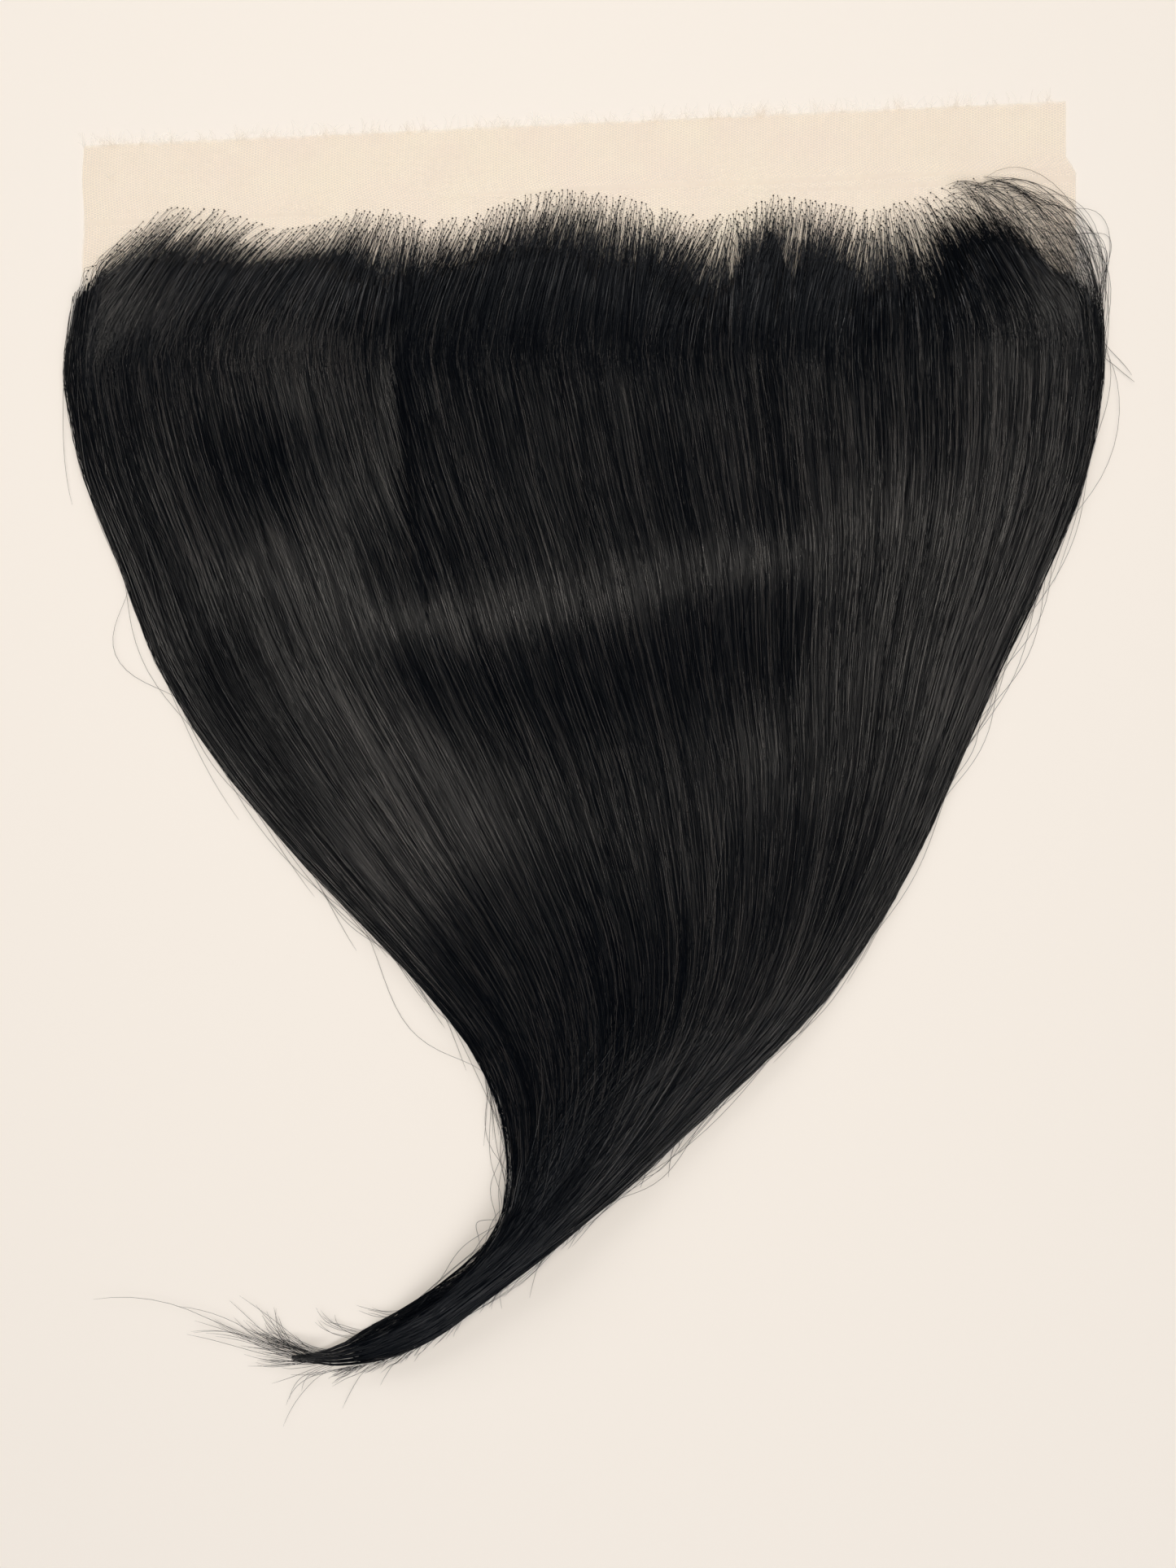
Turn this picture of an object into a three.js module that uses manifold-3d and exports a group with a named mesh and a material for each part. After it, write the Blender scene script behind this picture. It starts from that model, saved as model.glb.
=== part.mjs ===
// A lace frontal laid flat: a strip of fine net with straight hair knotted into it. The hair is
// combed into locks that fall side by side and run together in one curved tail.
// Millimetres, +Z up. The origin is on the underside of the net, below the middle of the
// hairline. +Y points to the cut front edge of the net, and the hair falls towards -Y.
import * as THREE from "three";
import { mergeVertices } from "three/addons/utils/BufferGeometryUtils.js";
import Module from "manifold-3d";

const wasm = await Module();
wasm.setup();

// The net base
const LACE_WIDTH = 330; // ear to ear
const LACE_MARGIN = 28; // bare net in front of the hairline, at the middle
const FRONT_SLANT = 15; // how much further forward the cut front edge is at the right end
const KNOTTED_DEPTH = 102; // net behind the hairline, which carries the knots
const LACE_THICKNESS = 1;
const CREASE_BACK = 24; // a pressed fold, this far behind the front edge
const FRONT_TUCK = 3.3; // how far the net in front of the fold is drawn in at its right end
const TUCK_RUN = 6; // length of the slanted edge between the two widths
const BACK_CORNER_IN = 12; // the two back corners are cut off by this much across
const BACK_CORNER_ALONG = 34; // and by this much along

// The hair
const SIDE_OVERHANG = 8; // hair past each side edge of the net, where it is widest
const HAIR_FALL = 388; // from the hairline to the lowest point of the tail
const HAIR_THICKNESS = 14; // at the neck of the tail, where it is thickest
const EDGE_THICKNESS = 1; // at the rim of the hair
const HAIRLINE_RISE = 10.3; // how far the highest crest of the hairline stands forward
const GROOVE_DEPTH = 1.4; // between two locks
const SWELL_HEIGHT = 1.5; // of the soft swells across the locks

// The wisps that the tail ends in
const WISP_LENGTH = 38;
const WISP_THICKNESS = 3.4;

// Clearances
const LOCK_GAP = 0.4; // between neighbouring locks
const SEAT_GAP = 0.3; // between hair and net, and between the locks and the tail

const HAIR_SPREAD = LACE_WIDTH + 2 * SIDE_OVERHANG;
const ROOT_SHARE = LACE_WIDTH / HAIR_SPREAD / 2; // the net's side edge, as a share of the spread
const HAIR_SEAT = LACE_THICKNESS + SEAT_GAP; // height of the hair's underside on the net

// The rows that the hair is lofted through, from the hairline to the tip of the tail.
// left and right are shares of HAIR_SPREAD from the middle, and the two "down" columns are
// shares of HAIR_FALL. thick is a share of HAIR_THICKNESS. flat says how square the section
// is: 2 is an ellipse, 8 a flat sheet with a round rim.
const ROWS = [
  { left: -ROOT_SHARE, leftDown: 0, right: ROOT_SHARE, rightDown: 0, thick: 0, flat: 8 },
  { left: -0.49, leftDown: 0.101, right: 0.501, rightDown: 0.091, thick: 0.26, flat: 8 },
  { left: -0.495, leftDown: 0.146, right: 0.503, rightDown: 0.139, thick: 0.33, flat: 8 },
  { left: -0.477, leftDown: 0.227, right: 0.487, rightDown: 0.227, thick: 0.37, flat: 8 },
  { left: -0.441, leftDown: 0.31, right: 0.451, rightDown: 0.31, thick: 0.4, flat: 7 },
  { left: -0.405, leftDown: 0.394, right: 0.406, rightDown: 0.394, thick: 0.43, flat: 6 },
  { left: -0.345, leftDown: 0.478, right: 0.364, rightDown: 0.478, thick: 0.47, flat: 6 },
  { left: -0.266, leftDown: 0.561, right: 0.321, rightDown: 0.561, thick: 0.53, flat: 5 },
  { left: -0.187, leftDown: 0.634, right: 0.272, rightDown: 0.634, thick: 0.61, flat: 4 },
  { left: -0.125, leftDown: 0.694, right: 0.217, rightDown: 0.697, thick: 0.72, flat: 4 },
  { left: -0.084, leftDown: 0.749, right: 0.149, rightDown: 0.753, thick: 0.85, flat: 3 },
  { left: -0.068, leftDown: 0.812, right: 0.071, rightDown: 0.816, thick: 0.94, flat: 2.6 },
  { left: -0.073, leftDown: 0.854, right: 0.016, rightDown: 0.862, thick: 1, flat: 2.4 },
  { left: -0.09, leftDown: 0.884, right: -0.03, rightDown: 0.899, thick: 0.94, flat: 2.2 },
  { left: -0.117, leftDown: 0.913, right: -0.078, rightDown: 0.932, thick: 0.8, flat: 2 },
  { left: -0.152, leftDown: 0.94, right: -0.127, rightDown: 0.966, thick: 0.62, flat: 2 },
  { left: -0.191, leftDown: 0.961, right: -0.177, rightDown: 0.988, thick: 0.45, flat: 2 },
  { left: -0.226, leftDown: 0.972, right: -0.221, rightDown: 0.999, thick: 0.32, flat: 2 },
  { left: -0.258, leftDown: 0.977, right: -0.256, rightDown: 0.998, thick: 0.2, flat: 2 },
  { left: -0.285, leftDown: 0.982, right: -0.285, rightDown: 0.993, thick: 0.1, flat: 2 },
];
const NECK_INDEX = 11; // the row where the locks run together in the tail
const OFF_NET_INDEX = 4; // the row by which the hair has come down from the net to the table

// The crests and dips of the hairline. at is a share of LACE_WIDTH from the middle, and
// forward a share of HAIRLINE_RISE.
const HAIRLINE = [
  { at: -0.5, forward: -1.95 },
  { at: -0.462, forward: -0.8 },
  { at: -0.409, forward: 0 },
  { at: -0.303, forward: -0.74 },
  { at: -0.217, forward: 0 },
  { at: -0.155, forward: -0.45 },
  { at: -0.02, forward: 0.58 },
  { at: 0.127, forward: -0.34 },
  { at: 0.196, forward: 0.39 },
  { at: 0.291, forward: -0.11 },
  { at: 0.405, forward: 1 },
  { at: 0.454, forward: 0.29 },
  { at: 0.5, forward: -0.18 },
];

// The locks, side by side. from and to are shares of each row, from its left end.
const LOCKS = [
  { name: "lock_left_edge", from: 0, to: 0.17 },
  { name: "lock_left", from: 0.17, to: 0.33 },
  { name: "lock_centre_left", from: 0.33, to: 0.5 },
  { name: "lock_centre_right", from: 0.5, to: 0.68 },
  { name: "lock_right", from: 0.68, to: 0.82 },
  { name: "lock_right_edge", from: 0.82, to: 1 },
];

// The soft humps and hollows across the locks. at and wide are shares of HAIR_SPREAD, down
// and long shares of HAIR_FALL, and high is a share of SWELL_HEIGHT.
const SWELLS = [
  { at: -0.32, down: 0.17, wide: 0.16, long: 0.075, high: 0.8 },
  { at: -0.3, down: 0.262, wide: 0.14, long: 0.05, high: -0.8 },
  { at: -0.3, down: 0.352, wide: 0.2, long: 0.06, high: 1 },
  { at: -0.05, down: 0.36, wide: 0.16, long: 0.06, high: 0.9 },
  { at: -0.12, down: 0.455, wide: 0.16, long: 0.06, high: -0.8 },
  { at: 0.13, down: 0.325, wide: 0.14, long: 0.06, high: 0.8 },
  { at: 0.14, down: 0.42, wide: 0.16, long: 0.06, high: -0.7 },
  { at: 0.29, down: 0.28, wide: 0.14, long: 0.07, high: 0.8 },
  { at: 0.31, down: 0.17, wide: 0.14, long: 0.05, high: -0.6 },
  { at: 0.41, down: 0.09, wide: 0.1, long: 0.05, high: 0.6 },
  { at: -0.01, down: 0.12, wide: 0.16, long: 0.06, high: 0.6 },
];

// The wisps. row and across place a wisp's root in the tail, heading is the way it leaves,
// in degrees from +X, and bend is how much it turns on its way.
const WISPS = [
  { row: 17.4, across: 0.12, heading: 172, bend: -34, long: 1 },
  { row: 18.2, across: 0.5, heading: 178, bend: -14, long: 0.8 },
  { row: 17.8, across: 0.85, heading: 184, bend: 26, long: 0.62 },
];
const WISP_STEPS = 6;
const WISP_SIDES = 6;
const WISP_TIP_SHARE = 0.2; // how thick a wisp still is at its tip

const LOCK_COLUMNS = 9;
const TAIL_COLUMNS = 12;
const STEPS_NEAR_ROOTS = 4; // sections for each row while the hair rises off the net
const STEPS_ELSEWHERE = 3;

const lerp = THREE.MathUtils.lerp;

// A column of ROWS at a fractional row, on a smooth curve through its values.
function columnAt(column, row) {
  const last = ROWS.length - 1;
  const k = Math.min(Math.floor(row), last - 1);
  const t = row - k;
  const value = (i) => ROWS[Math.min(Math.max(i, 0), last)][column];
  const slope = (i) => (i <= 0 || i >= last ? value(i + 1) - value(i - 1) : (value(i + 1) - value(i - 1)) / 2);
  const [a, b] = [value(k), value(k + 1)];
  const [da, db] = [slope(k), slope(k + 1)];
  return (
    a +
    t * da +
    t * t * (3 * (b - a) - 2 * da - db) +
    t * t * t * (2 * (a - b) + da + db)
  );
}

// How far forward of the mean hairline the first knots are at x.
function hairlineAt(x) {
  const share = THREE.MathUtils.clamp(x / LACE_WIDTH, -0.5, 0.5);
  const k = Math.max(1, HAIRLINE.findIndex((point) => point.at >= share));
  const [a, b] = [HAIRLINE[k - 1], HAIRLINE[k]];
  return HAIRLINE_RISE * lerp(a.forward, b.forward, THREE.MathUtils.smoothstep(share, a.at, b.at));
}

function rowWidth(row) {
  return Math.hypot(
    (columnAt("right", row) - columnAt("left", row)) * HAIR_SPREAD,
    (columnAt("rightDown", row) - columnAt("leftDown", row)) * HAIR_FALL,
  );
}

function rowSpacing(row) {
  const middle = (r) => [
    ((columnAt("left", r) + columnAt("right", r)) / 2) * HAIR_SPREAD,
    ((columnAt("leftDown", r) + columnAt("rightDown", r)) / 2) * HAIR_FALL,
  ];
  const [here, next] = [middle(row), middle(row + 1)];
  return Math.hypot(next[0] - here[0], next[1] - here[1]);
}

// A point of the hair seen from above. The scallops of the hairline fade out by the second row.
function planAt(across, row) {
  const x = lerp(columnAt("left", row), columnAt("right", row), across) * HAIR_SPREAD;
  const y = -lerp(columnAt("leftDown", row), columnAt("rightDown", row), across) * HAIR_FALL;
  const fade = Math.max(0, 1 - row) ** 2;
  return [x, y + fade * hairlineAt(x)];
}

function swellAt(x, y) {
  return SWELLS.reduce((sum, swell) => {
    const dx = (x / HAIR_SPREAD - swell.at) / swell.wide;
    const dy = (-y / HAIR_FALL - swell.down) / swell.long;
    return sum + swell.high * SWELL_HEIGHT * Math.exp(-2 * (dx * dx + dy * dy));
  }, 0);
}

// Height of the hair's upper side. ridge runs from 0 in a groove to 1 on the crown of a lock.
function topAt(across, row, ridge) {
  const [x, y] = planAt(across, row);
  const seat = HAIR_SEAT * (1 - THREE.MathUtils.smoothstep(row, OFF_NET_INDEX - 1, OFF_NET_INDEX));
  const offMiddle = Math.abs(2 * across - 1);
  const bulk = Math.max(0, 1 - offMiddle ** columnAt("flat", row)) ** 0.5;
  const thick = columnAt("thick", row) * HAIR_THICKNESS * bulk;
  const relief = Math.min(1, thick / (2 * GROOVE_DEPTH)); // thin hair has shallow grooves
  return seat + EDGE_THICKNESS + thick + relief * (swellAt(x, y) * bulk - GROOVE_DEPTH * (1 - ridge));
}

function manifoldOf(geometry) {
  const bare = geometry.clone();
  bare.deleteAttribute("normal");
  bare.deleteAttribute("uv");
  const merged = mergeVertices(bare);
  return new wasm.Manifold(
    new wasm.Mesh({
      numProp: 3,
      vertProperties: merged.getAttribute("position").array,
      triVerts: new Uint32Array(merged.index.array),
    }),
  );
}

function geometryOf(manifold) {
  const mesh = manifold.getMesh();
  const geometry = new THREE.BufferGeometry();
  geometry.setAttribute("position", new THREE.BufferAttribute(mesh.vertProperties, 3));
  geometry.setIndex(new THREE.BufferAttribute(mesh.triVerts, 1));
  geometry.computeVertexNormals();
  return geometry;
}

// A closed solid between a grid of points and the table below it. grid[i][j] runs along i
// towards the tip and across j from left to right.
function slabGeometry(grid) {
  const [rows, columns] = [grid.length, grid[0].length];
  const upper = (i, j) => i * columns + j;
  const lower = (i, j) => rows * columns + upper(i, j);
  const points = grid.flat();
  const positions = [...points.flat(), ...points.flatMap(([x, y]) => [x, y, 0])];
  const faces = [];
  const quad = (a, b, c, d) => faces.push(a, b, c, a, c, d);
  for (let i = 0; i < rows - 1; i++) {
    for (let j = 0; j < columns - 1; j++) {
      quad(upper(i, j), upper(i + 1, j), upper(i + 1, j + 1), upper(i, j + 1));
      quad(lower(i, j), lower(i, j + 1), lower(i + 1, j + 1), lower(i + 1, j));
    }
    quad(upper(i, 0), lower(i, 0), lower(i + 1, 0), upper(i + 1, 0));
    quad(upper(i + 1, columns - 1), lower(i + 1, columns - 1), lower(i, columns - 1), upper(i, columns - 1));
  }
  for (let j = 0; j < columns - 1; j++) {
    quad(upper(0, j + 1), lower(0, j + 1), lower(0, j), upper(0, j));
    quad(upper(rows - 1, j), lower(rows - 1, j), lower(rows - 1, j + 1), upper(rows - 1, j + 1));
  }
  const geometry = new THREE.BufferGeometry();
  geometry.setAttribute("position", new THREE.Float32BufferAttribute(positions, 3));
  geometry.setIndex(faces);
  return geometry;
}

// The rows that a piece of hair has a section at, closer together near the roots.
function stations(first, last) {
  const found = [first];
  let row = first;
  while (row < last - 1e-6) {
    row = Math.min(last, row + 1 / (row < 1 ? STEPS_NEAR_ROOTS : STEPS_ELSEWHERE));
    found.push(row);
  }
  return found;
}

function netOutline(growth) {
  const half = LACE_WIDTH / 2 + growth;
  const frontAt = (side) => LACE_MARGIN + (side * FRONT_SLANT) / 2 + growth;
  const crease = frontAt(1) - CREASE_BACK;
  const outline = new THREE.Shape();
  const back = -KNOTTED_DEPTH - growth;
  outline.moveTo(BACK_CORNER_IN - half, back);
  outline.lineTo(half - BACK_CORNER_IN, back);
  outline.lineTo(half, back + BACK_CORNER_ALONG);
  outline.lineTo(half, crease);
  outline.lineTo(half - FRONT_TUCK, crease + TUCK_RUN);
  outline.lineTo(half - FRONT_TUCK, frontAt(1));
  outline.lineTo(-half, frontAt(-1));
  outline.lineTo(-half, back + BACK_CORNER_ALONG);
  outline.closePath();
  return outline;
}

function netGeometry(growth = 0) {
  return new THREE.ExtrudeGeometry(netOutline(growth), {
    depth: LACE_THICKNESS + growth,
    bevelEnabled: false,
  });
}

function lockGeometry({ from, to }, netSpace) {
  const end = NECK_INDEX - SEAT_GAP / rowSpacing(NECK_INDEX - 1);
  const grid = stations(0, end).map((row) => {
    const trim = LOCK_GAP / 2 / rowWidth(row);
    const left = from > 0 ? from + trim : from;
    const right = to < 1 ? to - trim : to;
    return Array.from({ length: LOCK_COLUMNS + 1 }, (_, j) => {
      const share = (1 - Math.cos((Math.PI * j) / LOCK_COLUMNS)) / 2;
      const across = lerp(left, right, share);
      const offMiddle = Math.abs(2 * share - 1);
      return [...planAt(across, row), topAt(across, row, 1 - offMiddle ** 4)];
    });
  });
  return geometryOf(manifoldOf(slabGeometry(grid)).subtract(netSpace));
}

// A tapered, curved strand of the tail's end, lying on the table.
function wispGeometry({ row, across, heading, bend, long }) {
  const [x, y] = planAt(across, row);
  const points = [];
  let [px, py] = [x, y];
  const step = (WISP_LENGTH * long) / WISP_STEPS;
  const faces = [];
  for (let i = 0; i <= WISP_STEPS; i++) {
    const share = i / WISP_STEPS;
    const angle = THREE.MathUtils.degToRad(heading + bend * share);
    const radius = (WISP_THICKNESS / 2) * lerp(1, WISP_TIP_SHARE, share);
    for (let k = 0; k < WISP_SIDES; k++) {
      const turn = (2 * Math.PI * k) / WISP_SIDES;
      const aside = radius * Math.cos(turn);
      points.push(px - aside * Math.sin(angle), py + aside * Math.cos(angle), radius * (1 + Math.sin(turn)));
    }
    px += step * Math.cos(angle);
    py += step * Math.sin(angle);
  }
  const at = (i, k) => i * WISP_SIDES + (k % WISP_SIDES);
  for (let i = 0; i < WISP_STEPS; i++) {
    for (let k = 0; k < WISP_SIDES; k++) {
      faces.push(at(i, k), at(i + 1, k + 1), at(i + 1, k), at(i, k), at(i, k + 1), at(i + 1, k + 1));
    }
  }
  for (let k = 1; k < WISP_SIDES - 1; k++) {
    faces.push(at(0, 0), at(0, k + 1), at(0, k));
    faces.push(at(WISP_STEPS, 0), at(WISP_STEPS, k), at(WISP_STEPS, k + 1));
  }
  const geometry = new THREE.BufferGeometry();
  geometry.setAttribute("position", new THREE.Float32BufferAttribute(points, 3));
  geometry.setIndex(faces);
  return geometry;
}

function tailGeometry() {
  const grid = stations(NECK_INDEX, ROWS.length - 1).map((row) =>
    Array.from({ length: TAIL_COLUMNS + 1 }, (_, j) => {
      const across = (1 - Math.cos((Math.PI * j) / TAIL_COLUMNS)) / 2;
      return [...planAt(across, row), topAt(across, row, 1)];
    }),
  );
  const bundle = manifoldOf(slabGeometry(grid));
  return geometryOf(WISPS.reduce((tail, wisp) => tail.add(manifoldOf(wispGeometry(wisp))), bundle));
}

const netMaterial = new THREE.MeshStandardMaterial({ color: 0xf1e3cb, roughness: 0.9, metalness: 0 });
const hairMaterial = new THREE.MeshStandardMaterial({ color: 0x14100e, roughness: 0.42, metalness: 0 });

function piece(name, geometry, material) {
  const mesh = new THREE.Mesh(geometry, material);
  mesh.name = name;
  return mesh;
}

const netSpace = manifoldOf(netGeometry(SEAT_GAP));
const frontal = new THREE.Group();
frontal.name = "lace_frontal";
frontal.add(piece("lace_net", netGeometry(), netMaterial));
for (const lock of LOCKS) {
  frontal.add(piece(lock.name, lockGeometry(lock, netSpace), hairMaterial));
}
frontal.add(piece("tail", tailGeometry(), hairMaterial));

export default frontal;
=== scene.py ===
import math

import bpy
import numpy as np
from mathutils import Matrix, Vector
from mathutils.bvhtree import BVHTree


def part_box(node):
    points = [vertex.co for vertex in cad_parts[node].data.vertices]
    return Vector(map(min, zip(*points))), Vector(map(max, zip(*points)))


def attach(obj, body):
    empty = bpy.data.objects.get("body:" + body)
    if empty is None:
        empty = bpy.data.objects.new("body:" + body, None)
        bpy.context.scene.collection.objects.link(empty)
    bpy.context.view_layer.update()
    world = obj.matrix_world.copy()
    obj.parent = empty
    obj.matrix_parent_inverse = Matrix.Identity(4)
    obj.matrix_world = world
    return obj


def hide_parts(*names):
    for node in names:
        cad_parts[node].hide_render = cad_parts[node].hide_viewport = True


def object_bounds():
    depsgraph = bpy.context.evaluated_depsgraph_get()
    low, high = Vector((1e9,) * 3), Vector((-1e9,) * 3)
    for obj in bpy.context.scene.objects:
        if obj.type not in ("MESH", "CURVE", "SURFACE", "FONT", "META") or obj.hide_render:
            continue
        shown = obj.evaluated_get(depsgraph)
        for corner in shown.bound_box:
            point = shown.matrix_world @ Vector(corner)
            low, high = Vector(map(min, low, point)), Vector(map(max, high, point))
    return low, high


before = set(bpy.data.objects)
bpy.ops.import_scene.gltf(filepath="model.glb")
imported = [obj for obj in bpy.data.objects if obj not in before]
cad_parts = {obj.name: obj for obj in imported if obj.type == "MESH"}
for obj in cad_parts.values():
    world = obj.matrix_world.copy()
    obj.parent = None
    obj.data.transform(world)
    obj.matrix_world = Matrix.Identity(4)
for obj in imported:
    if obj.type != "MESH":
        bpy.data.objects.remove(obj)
cad_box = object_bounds()

# The net
# A strip of very fine, skin-coloured nylon net, 13 inches from side to side. It is cut from a
# longer piece, so its front edge runs a little askew, and a pressed fold crosses it. It lies
# flat on the table, with the hair knotted in behind a bare front margin.
MM = 0.001
NET_LOW, NET_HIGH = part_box("lace_net")
NET_WIDTH = NET_HIGH.x - NET_LOW.x
FRONT_SLANT = 15 * MM  # the left end of the front edge lies this much further back
FOLD_BACK = 24 * MM  # from the front edge back to the pressed fold
FOLD_HEIGHT = 0.35 * MM
FOLD_SOFTNESS = 1.1 * MM
FRONT_TUCK = 3.3 * MM  # the step in at the front of the right side
TUCK_RUN = 6 * MM
BACK_CORNER_IN = 12 * MM
BACK_CORNER_ALONG = 34 * MM
SIDE_SWAY = 0.4 * MM
SIDE_SWAY_LENGTH = 5 * MM
NET_LIFT = 0.1 * MM
RIPPLE_HEIGHT = 0.08 * MM
RIPPLE_LENGTHS = (17 * MM, 9 * MM)
NET_COLOUR = (0.92, 0.82, 0.64, 1)
NET_SHADES = ((0.35, (0.93, 0.79, 0.65, 1)), (0.68, (0.94, 0.84, 0.62, 1)))
NET_SHEERNESS = 0.2
WEB_COLUMNS = 110
WEB_ROWS = 46


def front_edge(x):
    return NET_HIGH.y - FRONT_SLANT * (0.5 - x / NET_WIDTH)


def fade(value, low, high):
    """0 at low, 1 at high and smooth in between."""
    t = np.clip((value - low) / (high - low), 0, 1)
    return t * t * (3 - 2 * t)


def net_sides(y):
    half = NET_WIDTH / 2
    fold = NET_HIGH.y - FOLD_BACK
    corner = BACK_CORNER_IN * np.clip((NET_LOW.y + BACK_CORNER_ALONG - y) / BACK_CORNER_ALONG, 0, 1)
    tuck = FRONT_TUCK * fade(y, fold, fold + TUCK_RUN)
    sway = SIDE_SWAY * np.sin(y / SIDE_SWAY_LENGTH)
    return corner - half + sway * (corner == 0), half - corner - tuck


def net_height(x, y):
    behind = front_edge(x) - y
    fold = FOLD_HEIGHT * np.exp(-(((behind - FOLD_BACK) / FOLD_SOFTNESS) ** 2))
    ripple = RIPPLE_HEIGHT * (1 + np.sin(x / RIPPLE_LENGTHS[0] + y / RIPPLE_LENGTHS[1]))
    return NET_LIFT + fold + ripple


def make_piece(name, points, faces, material):
    """A mesh of points and faces (arrays of triangles or quads), riding on the one body."""
    mesh = bpy.data.meshes.new(name)
    points = np.asarray(points, np.float32).reshape(-1, 3)
    faces = [np.asarray(f, np.int32) for f in faces]
    corners = np.concatenate([f.ravel() for f in faces])
    sizes = np.concatenate([np.full(len(f), f.shape[1]) for f in faces])
    starts = np.concatenate([[0], np.cumsum(sizes)[:-1]]).astype(np.int32)
    mesh.vertices.add(len(points))
    mesh.vertices.foreach_set("co", points.ravel())
    mesh.loops.add(len(corners))
    mesh.loops.foreach_set("vertex_index", corners)
    mesh.polygons.add(len(sizes))
    mesh.polygons.foreach_set("loop_start", starts)
    mesh.polygons.foreach_set("use_smooth", np.ones(len(sizes), bool))
    mesh.update(calc_edges=True)
    mesh.materials.append(material)
    piece = bpy.data.objects.new(name, mesh)
    bpy.context.scene.collection.objects.link(piece)
    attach(piece, "root")
    return piece


def grid_faces(rows, columns):
    """Quads of a grid of points that is stored row by row."""
    first = (np.arange(rows - 1)[:, None] * columns + np.arange(columns - 1)).ravel()
    return np.stack([first, first + columns, first + columns + 1, first + 1], axis=1)


def new_material(name, colour, roughness):
    material = bpy.data.materials.new(name)
    material.use_nodes = True
    shader = material.node_tree.nodes["Principled BSDF"]
    shader.inputs["Base Color"].default_value = colour
    shader.inputs["Roughness"].default_value = roughness
    return material, material.node_tree, shader


def connect(tree, source, target):
    tree.links.new(source, target)


def set_shades(ramp, shades):
    """Colours along a ramp, each with its place before it."""
    for index, (position, shade) in enumerate(shades):
        stop = ramp.elements[index] if index < 2 else ramp.elements.new(position)
        stop.position = position
        stop.color = shade


def mottled_material(name, colour, roughness, gloss, grain, detail, shades):
    """A matt material that drifts between two shades, each with its place in the noise."""
    material, tree, shader = new_material(name, colour, roughness)
    shader.inputs["Specular IOR Level"].default_value = gloss
    place = tree.nodes.new("ShaderNodeTexCoord")
    clouds = tree.nodes.new("ShaderNodeTexNoise")
    clouds.inputs["Scale"].default_value = grain
    clouds.inputs["Detail"].default_value = detail
    tint = tree.nodes.new("ShaderNodeValToRGB")
    set_shades(tint.color_ramp, shades)
    connect(tree, place.outputs["Object"], clouds.inputs["Vector"])
    connect(tree, clouds.outputs["Fac"], tint.inputs["Fac"])
    connect(tree, tint.outputs["Color"], shader.inputs["Base Color"])
    return material, shader


web_material, shader = mottled_material(
    "net_web", NET_COLOUR, roughness=0.8, gloss=0.2, grain=28, detail=3, shades=NET_SHADES
)
shader.inputs["Alpha"].default_value = NET_SHEERNESS

back_share, across_share = np.meshgrid(
    np.linspace(0, 1, WEB_ROWS), np.linspace(0, 1, WEB_COLUMNS), indexing="ij"
)
rough_y = NET_HIGH.y + (NET_LOW.y - NET_HIGH.y) * back_share
left, right = net_sides(rough_y)
web_x = left + (right - left) * across_share
web_y = front_edge(web_x) + (NET_LOW.y - front_edge(web_x)) * back_share
web_points = np.stack([web_x, web_y, net_height(web_x, web_y)], axis=-1)
net_web = make_piece("net_web", web_points, [grid_faces(WEB_ROWS, WEB_COLUMNS)], web_material)
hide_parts("lace_net")

# The threads of the net
# The net is knitted: each thread runs in a zigzag from front to back and is looped to its
# neighbours at every other bend, so the holes are small hexagons. Only the part of the net
# that shows, in front of the dense hair, has its threads modelled.
THREAD_SPACING = 0.95 * MM
THREAD_STEP = 0.43 * MM  # from one bend of the zigzag to the next
THREAD_SWING = 0.14 * MM
THREAD_WIDTH = 0.1 * MM
THREAD_LIFT = 0.06 * MM
LINK_DROP = 0.01 * MM  # the loops that join two threads lie this much lower
THREAD_COLOUR = (0.84, 0.7, 0.52, 1)
THREAD_SHADES = ((0.3, (0.9, 0.77, 0.63, 1)), (0.7, (0.96, 0.87, 0.7, 1)))
SHOWN_BEHIND = 21 * MM  # how far behind the middle of the hairline the threads go
RAGGED_CUT = 0.9 * MM
RAG_COLUMNS = 3  # threads from one nick of the cut to the next

threads_material, _ = mottled_material(
    "net_thread", THREAD_COLOUR, roughness=0.55, gloss=0.3, grain=60, detail=2, shades=THREAD_SHADES
)

rng = np.random.default_rng(13)
columns = int(NET_WIDTH / THREAD_SPACING)
rows = int((NET_HIGH.y + SHOWN_BEHIND) / THREAD_STEP)
nicks = np.arange(columns // RAG_COLUMNS + 3) * RAG_COLUMNS
rag = np.interp(np.arange(columns), nicks, rng.random(len(nicks))) * RAGGED_CUT
column, row = np.meshgrid(np.arange(columns), np.arange(rows), indexing="ij")
outward = np.where((column + row) % 2 == 0, 1, -1)
share = (column + 0.5) / columns
left, right = net_sides(NET_HIGH.y - row * THREAD_STEP)
bend_x = left + (right - left) * share
bend_y = front_edge(bend_x) - row * THREAD_STEP
bend_x = bend_x + outward * THREAD_SWING
shown = (bend_y > -SHOWN_BEHIND) & (row * THREAD_STEP >= rag[:, None])


def thread_points(x, y):
    return np.stack([x, y, net_height(x, y) + THREAD_LIFT], axis=-1)


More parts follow.
